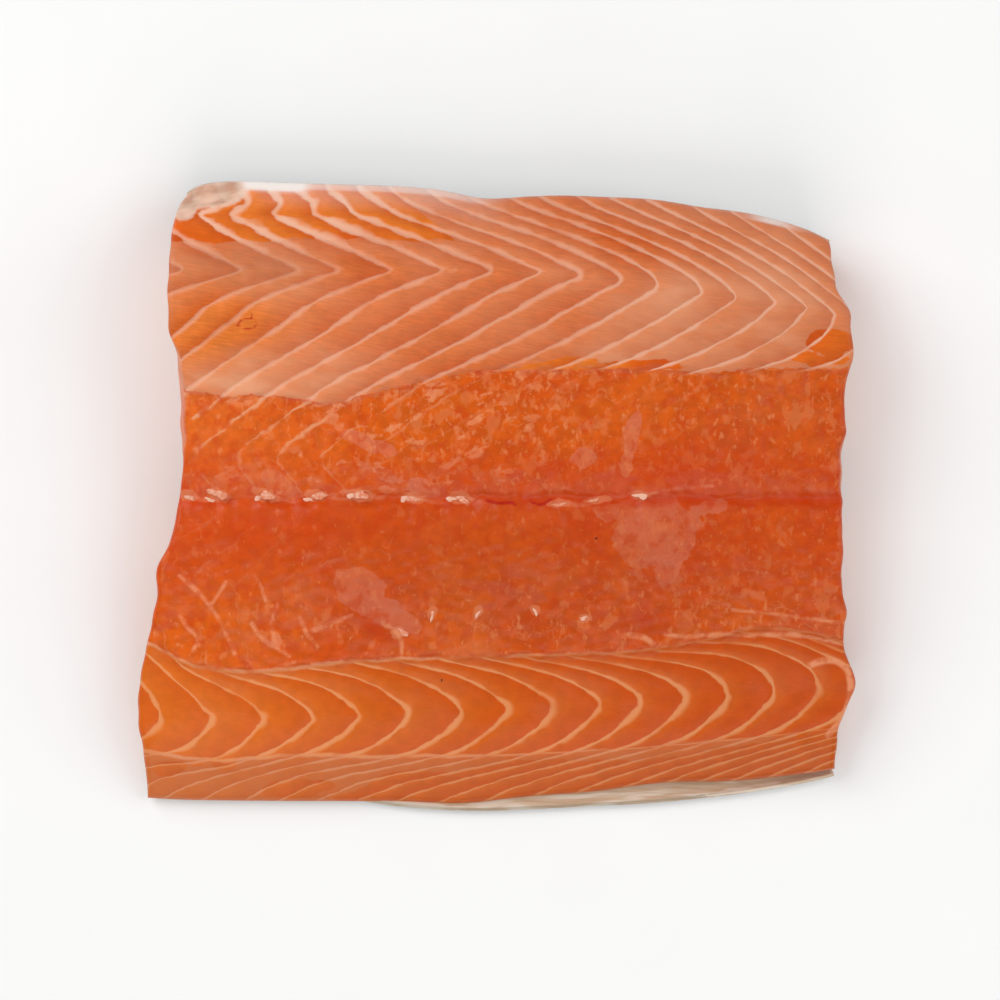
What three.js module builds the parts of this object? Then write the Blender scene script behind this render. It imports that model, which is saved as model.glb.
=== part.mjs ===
// A raw salmon fillet: one thick piece cut across a whole side of the fish, lying skin down.
//
// Frame, in millimetres: X runs along the fish from the head end cut (-X) to the tail end cut (+X),
// Y runs across it from the belly edge (-Y) to the back edge (+Y), and Z is up from the surface
// that the skin rests on. The origin is the middle of the bottom.
//
// The whole piece is one closed solid. It starts as a box of small cells, and every corner of a cell
// is moved by a few functions: the outline of the piece, the height of the flesh across the fish,
// the groove where the backbone was cut away, and the curve of the skin underneath.

import * as THREE from "three";
import { mergeVertices } from "three/addons/utils/BufferGeometryUtils.js";

// Driving sizes.
const LENGTH = 172;
const WIDTH = 151;
const LOIN_THICKNESS = 28;

// The four edges of the outline. A bulge is a soft swelling of the edge: its place along the edge,
// half its width, and how far it stands out (or in, where it is negative).
const HEAD_CUT = {
  reach: 77.3,
  bellyReach: 7.4,
  bellyFrom: 2,
  bellyTo: -46,
  bulges: [
    { at: 46, wide: 14, out: 1.8 },
    { at: 4, wide: 10, out: -1.5 },
    { at: -18, wide: 5, out: 1.6 },
    { at: -49, wide: 9, out: 1.5 },
  ],
};
const TAIL_CUT = {
  reach: 83.2,
  backTaper: 3.2,
  backFrom: 46,
  backTo: 58,
  bellyTaper: 3,
  bellyFrom: -48,
  bellyTo: -66,
  bulges: [
    { at: 36, wide: 8, out: 2.8 },
    { at: 11, wide: 8, out: 1.2 },
    { at: -28, wide: 3, out: 1.3 },
    { at: -45, wide: 6, out: 3 },
  ],
};
const BACK_EDGE = {
  reach: WIDTH / 2,
  slope: 4,
  tailDrop: 9.7,
  tailPower: 6,
  bulges: [
    { at: -64, wide: 12, out: 0.3 },
    { at: 0, wide: 14, out: -1.9 },
  ],
};
const BELLY_EDGE = {
  reach: 73.2,
  tailDrop: 6.7,
  dropFrom: 8,
  bulges: [{ at: -1, wide: 24, out: 2 }],
};
const TAIL_END_X = 80.5;
const HEAD_END_X = -78;
const CORNER_EASE = 1.5;
const CORNER_POWER = 9;

// Heights of the cut flesh over the resting surface, at even steps from the belly edge to the back
// edge, as a share of the thickness of the loin.
const SECTION = [0.15, 0.41, 0.545, 0.67, 0.8, 0.88, 0.925, 0.975, 1, 0.86, 0.47];
const TAIL_THINNING = 0.07;

// The groove left by the backbone runs along the middle. A low step on each side marks where the
// knife left the clean muscle: the loin stands above the rough cut strip, the strip above the belly.
const GROOVE = { y: -0.8, halfWidth: 5.5, depth: 2.2 };
const LOIN_STEP = { y: 28, slope: 0.006, halfWidth: 1.8, height: 0.9 };
const BELLY_STEP = { y: -36, slope: 0.034, halfWidth: 1.8, height: 1.1 };

// Slow waves that leave the soft flesh uneven: how high, how long, which way and where they start.
const WAVES = [
  { height: 0.26, alongX: 58, alongY: 90, start: 0.6 },
  { height: 0.22, alongX: -41, alongY: 63, start: 2.1 },
  { height: 0.15, alongX: 27, alongY: -38, start: 4.4 },
];

// The underside rests flat along the middle and curls up a little to both long edges.
const BACK_CURL = { from: 50, to: WIDTH / 2, lift: 5.2 };
const BELLY_CURL = { from: -60, to: -WIDTH / 2, lift: 1 };

// How the cut walls lean: the top rim stands in from the widest line, and so does the bottom rim.
const WALL_WIDEST = 0.3;
const END_LEAN = { top: 2, bottom: 0.5 };
const EDGE_LEAN = { top: 1.6, bottom: 1.8 };

// Cells of the starting box. The rims get finer cells than the middle.
const CELLS = { along: 38, across: 42, high: 3 };
const RIM_FINENESS = 0.55;

/** 0 before `from`, 1 past `to`, and a smooth rise between them; `from` may be the larger one. */
function ease(value, from, to) {
  const t = THREE.MathUtils.clamp((value - from) / (to - from), 0, 1);
  return t * t * (3 - 2 * t);
}

/** The sum of the soft swellings of one edge at a place along it. */
function swell(bulges, place) {
  return bulges.reduce((sum, b) => sum + b.out * Math.exp(-(((place - b.at) / b.wide) ** 2)), 0);
}

/** How far the head end cut stands from the middle, at a distance y across the fish. */
function headCut(y) {
  const belly = HEAD_CUT.bellyReach * ease(y, HEAD_CUT.bellyFrom, HEAD_CUT.bellyTo);
  return HEAD_CUT.reach + belly + swell(HEAD_CUT.bulges, y);
}

/** How far the tail end cut stands from the middle, at a distance y across the fish. */
function tailCut(y) {
  const back = TAIL_CUT.backTaper * ease(y, TAIL_CUT.backFrom, TAIL_CUT.backTo);
  const belly = TAIL_CUT.bellyTaper * ease(y, TAIL_CUT.bellyFrom, TAIL_CUT.bellyTo);
  return TAIL_CUT.reach - back - belly + swell(TAIL_CUT.bulges, y);
}

/** How far the back edge stands from the middle, at a place x along the fish. */
function backEdge(x) {
  const s = THREE.MathUtils.clamp((x - HEAD_END_X) / (TAIL_END_X - HEAD_END_X), 0, 1);
  const fall = BACK_EDGE.slope * s + BACK_EDGE.tailDrop * s ** BACK_EDGE.tailPower;
  return BACK_EDGE.reach - fall + swell(BACK_EDGE.bulges, x);
}

/** How far the belly edge stands from the middle, at a place x along the fish. */
function bellyEdge(x) {
  const s = THREE.MathUtils.clamp((x - BELLY_EDGE.dropFrom) / (TAIL_END_X - BELLY_EDGE.dropFrom), 0, 1);
  return BELLY_EDGE.reach - BELLY_EDGE.tailDrop * s * s + swell(BELLY_EDGE.bulges, x);
}

/** The height of the cut flesh over the resting surface. */
function topHeight(x, y) {
  const stations = SECTION.map((share, i) => new THREE.Vector2(i, share * LOIN_THICKNESS));
  const across = THREE.MathUtils.clamp(y / WIDTH + 0.5, 0, 1);
  const section = new THREE.SplineCurve(stations).getPoint(across).y;
  const thinning = 1 - TAIL_THINNING * ease(x, 0, LENGTH / 2);
  const groove = GROOVE.depth * Math.exp(-(((y - GROOVE.y) / GROOVE.halfWidth) ** 2));
  const steps = [LOIN_STEP, BELLY_STEP].reduce((sum, step) => {
    const line = step.y + step.slope * x;
    return sum + step.height * (ease(y, line - step.halfWidth, line + step.halfWidth) - 0.5);
  }, 0);
  const waves = WAVES.reduce(
    (sum, w) => sum + w.height * Math.sin(2 * Math.PI * (x / w.alongX + y / w.alongY) + w.start),
    0,
  );
  return section * thinning - groove + steps + waves * Math.min(1, section / (LOIN_THICKNESS / 2));
}

/** The height of the skin side over the resting surface: 0 where the piece rests. */
function floorHeight(y) {
  const back = BACK_CURL.lift * ease(y, BACK_CURL.from, BACK_CURL.to);
  const belly = BELLY_CURL.lift * ease(y, BELLY_CURL.from, BELLY_CURL.to);
  return back + belly;
}

/** How far a wall stands in from its widest line, at a share w of its height. */
function lean(wall, w) {
  const above = Math.max(0, w - WALL_WIDEST) / (1 - WALL_WIDEST);
  const below = Math.max(0, WALL_WIDEST - w) / WALL_WIDEST;
  return wall.top * above * above + wall.bottom * below * below;
}

/** Even shares from 0 to 1 drawn closer together at both ends. */
function finerAtRims(share) {
  return share - (RIM_FINENESS * Math.sin(2 * Math.PI * share)) / (2 * Math.PI);
}

/** Moves one corner of a cell: u runs from head to tail, v from belly to back, w from floor to top. */
function place(u, v, w) {
  const roughX = THREE.MathUtils.lerp(HEAD_END_X, TAIL_END_X, u);
  const outerY = THREE.MathUtils.lerp(-bellyEdge(roughX), backEdge(roughX), v);
  const outerX = THREE.MathUtils.lerp(-headCut(outerY), tailCut(outerY), u);
  const sideX = 2 * u - 1;
  const sideY = 2 * v - 1;
  const corner = CORNER_EASE * Math.abs(sideX * sideY) ** CORNER_POWER;
  const x = outerX - sideX * (lean(END_LEAN, w) + corner);
  const y = outerY - sideY * (lean(EDGE_LEAN, w) + corner);
  return new THREE.Vector3(x, y, THREE.MathUtils.lerp(floorHeight(y), topHeight(x, y), w));
}

/** The closed body of the fillet, from a box whose cell corners are all moved by `place`. */
function filletGeometry() {
  const box = new THREE.BoxGeometry(1, 1, 1, CELLS.along, CELLS.across, CELLS.high);
  box.deleteAttribute("normal");
  box.deleteAttribute("uv");
  const body = mergeVertices(box);
  const corners = body.getAttribute("position");
  for (let i = 0; i < corners.count; i += 1) {
    const u = finerAtRims(corners.getX(i) + 0.5);
    const v = finerAtRims(corners.getY(i) + 0.5);
    const moved = place(u, v, corners.getZ(i) + 0.5);
    corners.setXYZ(i, moved.x, moved.y, moved.z);
  }
  body.computeVertexNormals();
  return body;
}

/** Moist orange flesh. */
function fleshMaterial() {
  return new THREE.MeshStandardMaterial({ color: 0xcf6a34, roughness: 0.38, metalness: 0 });
}

/** The whole fillet as one mesh. */
function fillet() {
  const mesh = new THREE.Mesh(filletGeometry(), fleshMaterial());
  mesh.name = "fillet";
  return mesh;
}

const part = new THREE.Group();
part.add(fillet());

export default part;
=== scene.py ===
"""A raw salmon fillet: cut flesh on its own skin, with bone ends along the middle.

The shapes are worked out in millimetres. X runs from the head end cut (-X) to the tail end cut (+X),
Y from the belly edge (-Y) to the back edge (+Y), and Z up from the surface that the skin rests on.
"""

import logging
import math
from collections.abc import Callable
from dataclasses import dataclass

import bpy
import numpy as np
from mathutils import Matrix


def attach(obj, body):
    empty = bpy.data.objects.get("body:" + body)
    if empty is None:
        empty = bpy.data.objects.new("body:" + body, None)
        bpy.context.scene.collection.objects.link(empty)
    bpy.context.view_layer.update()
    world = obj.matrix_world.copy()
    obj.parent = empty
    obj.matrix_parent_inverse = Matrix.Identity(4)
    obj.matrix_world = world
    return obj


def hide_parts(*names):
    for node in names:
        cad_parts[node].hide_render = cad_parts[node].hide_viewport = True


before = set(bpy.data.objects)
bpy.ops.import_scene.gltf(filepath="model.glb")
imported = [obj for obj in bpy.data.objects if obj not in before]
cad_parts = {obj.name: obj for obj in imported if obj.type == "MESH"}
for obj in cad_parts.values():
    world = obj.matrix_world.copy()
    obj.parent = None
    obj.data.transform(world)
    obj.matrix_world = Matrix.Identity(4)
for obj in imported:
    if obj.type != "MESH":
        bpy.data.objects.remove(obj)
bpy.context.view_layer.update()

Array = np.ndarray
Colour = tuple[float, float, float]
Rows = tuple[tuple[float, ...], ...]

log = logging.getLogger("fillet")
MM = 0.001


def ease(value: Array, start: float, end: float) -> Array:
    """A smooth rise: t * t * (3 - 2 t), where t is the share of the way from start to end, 0 to 1."""
    t = np.clip((value - start) / (end - start), 0.0, 1.0)
    return t * t * (3.0 - 2.0 * t)


def hump(value: Array, middle: float, wide: float) -> Array:
    """A bell of height 1: exp(-((value - middle) / wide) ** 2)."""
    return np.exp(-(((value - middle) / wide) ** 2))


def swell(bulges: Rows, place: Array) -> Array:
    """The sum of soft bulges of a line; a row is its place along the line, half width and height."""
    return sum(out * hump(place, at, wide) for at, wide, out in bulges)


def bend(curve: tuple[float, float, float], x: Array) -> Array:
    """A curved line along the fish: a + b x + c x ** 2, from its three numbers."""
    a, b, c = curve
    return a + b * x + c * x * x


def srgb(red: float, green: float, blue: float) -> Colour:
    """A colour given as display values from 0 to 255, as the linear values that a shader takes."""
    shares = [channel / 255.0 for channel in (red, green, blue)]
    return tuple(s / 12.92 if s <= 0.04045 else ((s + 0.055) / 1.055) ** 2.4 for s in shares)


@dataclass(frozen=True)
class Ripple:
    """Soft unevenness: a sum of sine waves of random length, direction and start.

    Args:
        shortest, longest: the range of the lengths, in mm.
        count: how many waves are summed.
        seed: the seed of the random draws.
    """

    shortest: float
    longest: float
    count: int
    seed: int

    def at(self, x: Array, y: Array) -> Array:
        """The waves at each point, scaled so that they mostly lie between -1 and 1.

        Args:
            x, y: places along and across the fish, in mm.

        Returns:
            The sum of sin(kx x + ky y + start) over the waves, times the root of 1 / count.
        """
        draws = np.random.default_rng(self.seed)
        lengths = draws.uniform(self.shortest, self.longest, self.count)
        turns = draws.uniform(0.0, math.tau, self.count)
        starts = draws.uniform(0.0, math.tau, self.count)
        total = np.zeros(np.broadcast(x, y).shape)
        for length, turn, start in zip(lengths, turns, starts):
            k = math.tau / length
            total += np.sin(k * (x * math.cos(turn) + y * math.sin(turn)) + start)
        return total / math.sqrt(self.count)


@dataclass(frozen=True)
class Rim:
    """How far the rims of the walls stand in from the outline, in mm.

    Args:
        ends, back, belly: the top rim at both end cuts, at the back edge and at the belly edge.
        lip: the whole wall at the belly edge, where the skin shows beside it.
    """

    ends: Array | float = 0.0
    back: float = 0.0
    belly: float = 0.0
    lip: Array | float = 0.0


@dataclass(frozen=True)
class Form:
    """The outline, section and floor of the whole fillet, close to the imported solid's, in mm."""

    length: float = 172.0
    width: float = 151.0
    loin_thickness: float = 28.0
    head_end: float = -78.0
    tail_end: float = 80.5
    head_reach: float = 77.3
    head_belly_reach: float = 7.4
    tail_reach: float = 83.2
    tail_back_taper: float = 2.4
    tail_belly_taper: float = 1.3
    back_slope: float = 4.0
    back_drop: float = 9.7
    belly_reach: float = 73.2
    belly_drop: float = 6.7
    belly_drop_from: float = 8.0
    back_curl: float = 5.2
    belly_curl: float = 1.0
    corner_ease: float = 0.7
    corner_power: float = 9.0
    head_corner: float = 2.6
    head_corner_power: int = 16
    widest: float = 0.3
    end_lean: float = 0.5
    edge_lean: float = 1.8
    head_bulges: Rows = (
        (62, 7, 0.8), (46, 14, 1.8), (4, 10, -1.5), (-18, 5, 1.6), (-49, 9, 1.5), (-57, 4, 0.5),
    )
    tail_bulges: Rows = (
        (50, 3, -1), (43.5, 2.5, 0.8), (35.5, 8, 2.9), (11, 8, 1.2), (-28, 3, 1.3), (-45, 6, 3),
    )
    back_bulges: Rows = ((-64, 12, 0.3), (0, 14, -1.9), (-4, 6, -0.6), (24, 12, -0.6), (49, 9, -0.7))
    belly_bulges: Rows = ((-1, 24, 2.0),)
    section: tuple[float, ...] = (0.15, 0.41, 0.545, 0.67, 0.8, 0.88, 0.925, 0.975, 1.0, 0.86, 0.47)
    tail_thinning: float = 0.07
    ragged: Ripple = Ripple(4.0, 26.0, 18, 12)
    ragged_height: float = 0.2
    ends_apart: float = 40.0
    low_spread: float = 1.025
    spread_fall: float = 800.0

    def head_cut(self, y: Array) -> Array:
        """How far the head end cut stands from the middle."""
        return self.head_reach + self.head_belly_reach * ease(y, 2, -46) + swell(self.head_bulges, y)

    def tail_cut(self, y: Array) -> Array:
        """How far the tail end cut stands from the middle."""
        tapers = self.tail_reach - self.tail_back_taper * ease(y, 46, 58)
        return tapers - self.tail_belly_taper * ease(y, -48, -66) + swell(self.tail_bulges, y)

    def back_edge(self, x: Array) -> Array:
        """How far the back edge stands from the middle: a slope s and a late drop s ** 6 to the tail."""
        s = np.clip((x - self.head_end) / (self.tail_end - self.head_end), 0.0, 1.0)
        return self.width / 2 - self.back_slope * s - self.back_drop * s**6 + swell(self.back_bulges, x)

    def belly_edge(self, x: Array) -> Array:
        """How far the belly edge stands from the middle: it drops with the square of the way to the tail."""
        s = np.clip((x - self.belly_drop_from) / (self.tail_end - self.belly_drop_from), 0.0, 1.0)
        return self.belly_reach - self.belly_drop * s * s + swell(self.belly_bulges, x)

    def floor(self, y: Array) -> Array:
        """The height of the skin side: 0 where the fillet rests, curling up to both long edges."""
        half = self.width / 2
        return self.back_curl * ease(y, 50, half) + self.belly_curl * ease(y, -60, -half)

    def thickness(self, x: Array, y: Array) -> Array:
        """The height of the flesh before its fine relief.

        Args:
            x, y: places along and across the fish, in mm.

        Returns:
            A Catmull-Rom curve through the section's stations, thinned towards the tail.
        """
        stations = np.array(self.section) * self.loin_thickness
        last = len(stations) - 1
        place = np.clip(y / self.width + 0.5, 0.0, 1.0) * last
        first = np.minimum(place.astype(int), last - 1)
        t = place - first
        p0, p1, p2, p3 = (stations[np.clip(first + step, 0, last)] for step in (-1, 0, 1, 2))
        curve = 2 * p1 + (p2 - p0) * t + (2 * p0 - 5 * p1 + 4 * p2 - p3) * t**2
        curve = 0.5 * (curve + (3 * p1 - p0 - 3 * p2 + p3) * t**3)
        return curve * (1 - self.tail_thinning * ease(x, 0, self.length / 2))

    def place(self, u: Array, v: Array, w: Array, rim: Rim) -> tuple[Array, Array]:
        """The x and y of a point of the walls or of the top.

        Args:
            u, v, w: shares of the way from head to tail, from belly to back, and up the wall.
            rim: how far the rims stand in.

        Returns:
            x and y in mm. The outline is blended between opposite edges, then drawn in by the lean and
            by a rounding of the corners.
        """
        rough_x = self.head_end + (self.tail_end - self.head_end) * u
        outer_y = -(self.belly_edge(rough_x) - rim.lip) * (1 - v) + self.back_edge(rough_x) * v
        side_x = 2 * u - 1
        side_y = 2 * v - 1
        wander = self.ragged_height * self.ragged.at(side_x * self.ends_apart, outer_y)
        outer_x = -self.head_cut(outer_y) * (1 - u) + self.tail_cut(outer_y) * u + wander * side_x**3
        corner = self.corner_ease * np.abs(side_x * side_y) ** self.corner_power
        head_back = np.maximum(-side_x * side_y, 0.0) ** self.head_corner_power
        corner = corner + self.head_corner * head_back * (side_y > 0)
        above = (np.maximum(0.0, w - self.widest) / (1 - self.widest)) ** 2
        below = (np.maximum(0.0, self.widest - w) / self.widest) ** 2
        lean_y = np.where(side_y > 0, rim.back, rim.belly)
        x = outer_x - side_x * (rim.ends * above + self.end_lean * below + corner)
        y = outer_y - side_y * (lean_y * above + self.edge_lean * below + corner)
        return x, y

    def spread(self, high: Array) -> Array:
        """How far a place is drawn out from the middle: the low, soft edges lie a little wider."""
        return self.low_spread - high / self.spread_fall


@dataclass(frozen=True)
class Seams:
    """The lines along the fish that part its bands, from the back to the belly, in mm."""

    centre: float = -0.8
    apex_level: float = 54.2
    apex_bend: float = 0.0013
    apex_bend_from: float = -8.0
    loin_low: float = 24.0
    loin_rise: float = 6.4
    belly_curve: tuple[float, float, float] = (-38.5, 0.03, 0.0)
    belly_apex_curve: tuple[float, float, float] = (-51.0, 0.054, 0.00027)
    lower_curve: tuple[float, float, float] = (-62.1, 0.03, 0.0006)
    loin_bends: Rows = ((-84, 8, 4.5), (-41, 7, -2.0), (49, 9, -1.2))
    belly_bends: Rows = ((-86, 9, 6.2), (-58, 16, -1.8), (66, 20, 4.8), (86, 9, -1.5))
    lower_bends: Rows = ((-70, 14, -2.0),)

    def loin_apex(self, x: Array) -> Array:
        """Where the layers of the loin turn: level from the head, then bending down to the tail."""
        return self.apex_level - self.apex_bend * np.maximum(x - self.apex_bend_from, 0.0) ** 2

    def loin_edge(self, x: Array) -> Array:
        """Where the clean loin ends and the rough strip beside the backbone starts."""
        return self.loin_low + self.loin_rise * ease(x, -38, 2) + swell(self.loin_bends, x)

    def belly_seam(self, x: Array) -> Array:
        """Where the rough strip ends and the clean belly starts."""
        return bend(self.belly_curve, x) + swell(self.belly_bends, x)

    def belly_apex(self, x: Array) -> Array:
        """Where the layers of the belly turn."""
        return bend(self.belly_apex_curve, x)

    def lower_seam(self, x: Array) -> Array:
        """Where the thin band at the belly edge starts."""
        return bend(self.lower_curve, x) + swell(self.lower_bends, x)


@dataclass(frozen=True)
class Layers:
    """One family of muscle layers, counted from head to tail.

    Args:
        rows: lines along the fish that the layers cross. A row holds its straightened place across the
            fish, a start, a step and a change in mm: layer k crosses it at start + step k + change k ** 2.
        uneven: how far each layer lies from its even place, in mm, from layer 0 on.
        spacing: the usual spacing along the fish, in mm.
    """

    rows: Rows
    uneven: tuple[float, ...]
    spacing: float = 11.4

    def number(self, x: Array, level: Array, soft: Array) -> Array:
        """The number of the layer at each point; pale layers lie where it is whole.

        Args:
            x, level: places along the fish and straightened places across it, in mm.
            soft: how far the turns of the layers are rounded, in mm.

        Returns:
            Between two rows the start, step and change are blended, and the number k solves
            start + step k + change k ** 2 = x. The mean over nearby levels rounds the turns.
        """
        offsets = np.linspace(-1.0, 1.0, 5)
        even = sum(self._even_number(x, level + offset * soft) for offset in offsets) / len(offsets)
        whole = np.arange(len(self.uneven), dtype=float)
        shifted = whole + np.array(self.uneven) / self.spacing
        known = np.interp(even, shifted, whole)
        return known + np.minimum(even - shifted[0], 0.0) + np.maximum(even - shifted[-1], 0.0)

    def _even_number(self, x: Array, level: Array) -> Array:
        """The number of the layer before its unevenness.

        Args:
            x, level: places along the fish and straightened places across it, in mm.

        Returns:
            The root k of start + step k + change k ** 2 = x, with the numbers of the blended row.
        """
        levels, *shapes = np.array(sorted(self.rows)).T
        start, step, change = (np.interp(level, levels, shape) for shape in shapes)
        inside = np.maximum(step**2 + 4 * change * (x - start), 1.0)
        return 2 * (x - start) / (step + np.sqrt(inside))


BACK_LAYERS = Layers(
    (
        (73.8, -79.5, 5.9, 0.105), (70.3, -79.9, 7.1, 0.045), (67.6, -94.7, 10.85, -0.105),
        (60.0, -87.2, 13.65, -0.225), (54.2, -76.0, 14.1, -0.24), (47.4, -99.4, 15.4, -0.23),
        (40.6, -103.3, 13.6, -0.11), (33.8, -107.3, 11.5, 0.015), (27.0, -111.5, 9.75, 0.07),
        (9.6, -127.0, 8.1, 0.13), (0.3, -118.4, 7.7, 0.18),
    ),
    (0.8, 1.2, 1.6, -1.5, -1.2, -0.9, -0.7, -0.1, -0.5, 0, 0.2, 1.4, 0.4, 1.2, 0.5, -0.3, -0.5, -0.9, 0),
)
BELLY_LAYERS = Layers(
    (
        (0.0, -78.0, 11.4, 0.0), (-18.0, -97.0, 11.4, 0.0), (-38.0, -90.0, 10.6, -0.02),
        (-39.5, -84.5, 10.9, -0.02), (-41.5, -79.2, 11.2, -0.02), (-44.0, -74.6, 11.55, -0.035),
        (-47.0, -70.8, 11.65, -0.03), (-51.0, -67.6, 12.25, -0.085), (-54.0, -69.5, 12.0, -0.055),
        (-57.0, -71.9, 11.75, -0.045), (-60.5, -76.6, 11.4, -0.015), (-62.6, -81.0, 11.0, -0.01),
        (-65.5, -94.0, 10.6, -0.01), (-68.0, -98.6, 9.5, 0.027), (-71.0, -104.0, 9.3, 0.015),
        (-75.0, -107.5, 8.7, 0.025),
    ),
    (-0.3, 0.2, 0.0, -0.7, -0.3, 1.1, 0.7, 0.5, 0.4, -0.7, -0.7, -0.9, -0.5, 0.2, 0.9),
)


@dataclass(frozen=True)
class Muscle:
    """How the muscle layers run over the whole piece, in mm.

    Args:
        back_levels: the straightened places of the back and of the loin's lower edge.
        belly_levels: those of the belly's seam, its turns, the lower seam and the belly edge.
        slant: how much further to the tail a layer lies for each mm down.
        back_round, belly_round: how far the turns of the layers are rounded.
        sharpened: how much less that is where they are sharp.
    """

    form: Form = Form()
    seams: Seams = Seams()
    back_levels: tuple[float, float] = (72.0, 27.0)
    belly_levels: tuple[float, ...] = (-38.0, -51.0, -62.0, -74.0)
    slant: float = 1.2
    back_round: float = 2.6
    belly_round: float = 1.5
    sharpened: float = 2.1

    def back_level(self, x: Array, y: Array) -> Array:
        """The place across the back half with the turns of the loin straightened.

        Args:
            x, y: places along and across the fish, in mm.

        Returns:
            y, stretched evenly between three fixed lines: the back, the turns and the lower edge.
        """
        top, low = self.back_levels
        apex = self.seams.loin_apex(x)
        level = self.seams.apex_level
        upper = level + (y - apex) * (top - level) / (top - apex)
        lower = low + (y - low) * (level - low) / (apex - low)
        return np.where(y > apex, upper, np.where(y > low, lower, y))

    def belly_level(self, x: Array, y: Array) -> Array:
        """The place across the belly half with its seams straightened.

        Args:
            x, y: places along and across the fish, in mm.

        Returns:
            y, moved to the first level above the seam, and stretched evenly between the levels below.
        """
        seams = self.seams
        lines = (seams.belly_seam(x), seams.belly_apex(x), seams.lower_seam(x), -self.form.belly_edge(x))
        levels = self.belly_levels
        level = levels[0] + (y - lines[0])
        for line, after, high, low in zip(lines, lines[1:], levels, levels[1:]):
            level = np.where(y > line, level, high - (high - low) * (line - y) / (line - after))
        return level

    def back_number(self, x: Array, y: Array) -> Array:
        """The number of the layer in the back half.

        Args:
            x, y: places along and across the fish, in mm.

        Returns:
            The number, with turns that are sharp towards the head and rounded elsewhere.
        """
        level = self.back_level(x, y)
        sharp = hump(level, self.seams.apex_level, 6.0) * (1 - 0.8 * ease(x, 10, 40) * ease(x, 72, 58))
        kinks = ease(level, 64, 67) * ease(x, -15, -30)
        return BACK_LAYERS.number(x, level, self.back_round - self.sharpened * np.maximum(sharp, kinks))

    def belly_number(self, x: Array, y: Array) -> Array:
        """The number of the layer in the belly half; its turns are round."""
        return BELLY_LAYERS.number(x, self.belly_level(x, y), self.belly_round)

    def pitch(self, number: Array, x: Array, y: Array, count: Callable[[Array, Array], Array]) -> Array:
        """How far apart the pale layers lie, measured square to them.

        Args:
            number: the layer number at each point.
            x, y: places along and across the fish, in mm.
            count: the function of x and y that gave the number.

        Returns:
            1 over the steepness of the layer number, in mm, held between 1 and 12.
        """
        near = 0.3
        along = (count(x + near, y) - number) / near
        across = (count(x, y + near) - number) / near
        return np.clip(1.0 / np.hypot(along, across), 1.0, 12.0)


@dataclass(frozen=True)
class Patch:
    """An oval patch: its middle, its two half sizes and its turn, in mm and degrees."""

    x: float
    y: float
    long: float
    short: float
    turn: float = 0.0

    def outside(self, x: Array, y: Array) -> Array:
        """How far a point lies outside the patch, roughly in mm.

        Args:
            x, y: places along and across the fish, in mm.

        Returns:
            (the length of the place in half sizes, less 1) times the smaller half size.
        """
        angle = math.radians(self.turn)
        across = (x - self.x) * math.cos(angle) + (y - self.y) * math.sin(angle)
        up = -(x - self.x) * math.sin(angle) + (y - self.y) * math.cos(angle)
        return (np.hypot(across / self.long, up / self.short) - 1.0) * min(self.long, self.short)

    def share(self, x: Array, y: Array) -> Array:
        """How much of a soft patch is felt: 1 in its middle, about a third on its rim."""
        return np.exp(-((1 + self.outside(x, y) / min(self.long, self.short)) ** 2))


def patches(*rows: tuple[float, ...]) -> tuple[Patch, ...]:
    """Patches from their rows of numbers."""
    return tuple(Patch(*row) for row in rows)


def felt(x: Array, y: Array, soft: Rows) -> Array:
    """How much of soft patches is felt, in all; a row holds a strength and a patch's numbers."""
    return sum(strength * Patch(*row).share(x, y) for strength, *row in soft)


@dataclass(frozen=True)
class Strand:
    """A thin strand on the cut: half its width, then the x and y of each point it joins, in mm."""

    row: tuple[float, ...]

    def outside(self, x: Array, y: Array) -> Array:
        """How far a point lies outside the strand: its distance to the nearest part, less half the width.

        Args:
            x, y: places along and across the fish, in mm.

        Returns:
            The smallest, over the parts, of |p - a - t (b - a)| - half, where t is held to 0 and 1.
        """
        away = np.full(x.shape, np.inf)
        path = self.rounded()
        for (ax, ay), (bx, by) in zip(path[:-1], path[1:]):
            run, rise = bx - ax, by - ay
            t = np.clip(((x - ax) * run + (y - ay) * rise) / (run * run + rise * rise), 0.0, 1.0)
            away = np.minimum(away, np.hypot(x - ax - t * run, y - ay - t * rise))
        return away - self.row[0]

    def rounded(self) -> Array:
        """The points with their corners rounded.

        Returns:
            The points after each corner is cut twice, a quarter of each part at a time.
        """
        path = np.array(self.row[1:]).reshape(-1, 2)
        for _ in range(2 if len(path) > 2 else 0):
            first, last = path[:-1], path[1:]
            cut = np.stack([0.75 * first + 0.25 * last, 0.25 * first + 0.75 * last], axis=1)
            path = np.concatenate([path[:1], cut.reshape(-1, 2), path[-1:]])
        return path


def strands(*rows: tuple[float, ...]) -> tuple[Strand, ...]:
    """Strands from their rows of numbers."""
    return tuple(Strand(row) for row in rows)


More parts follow.
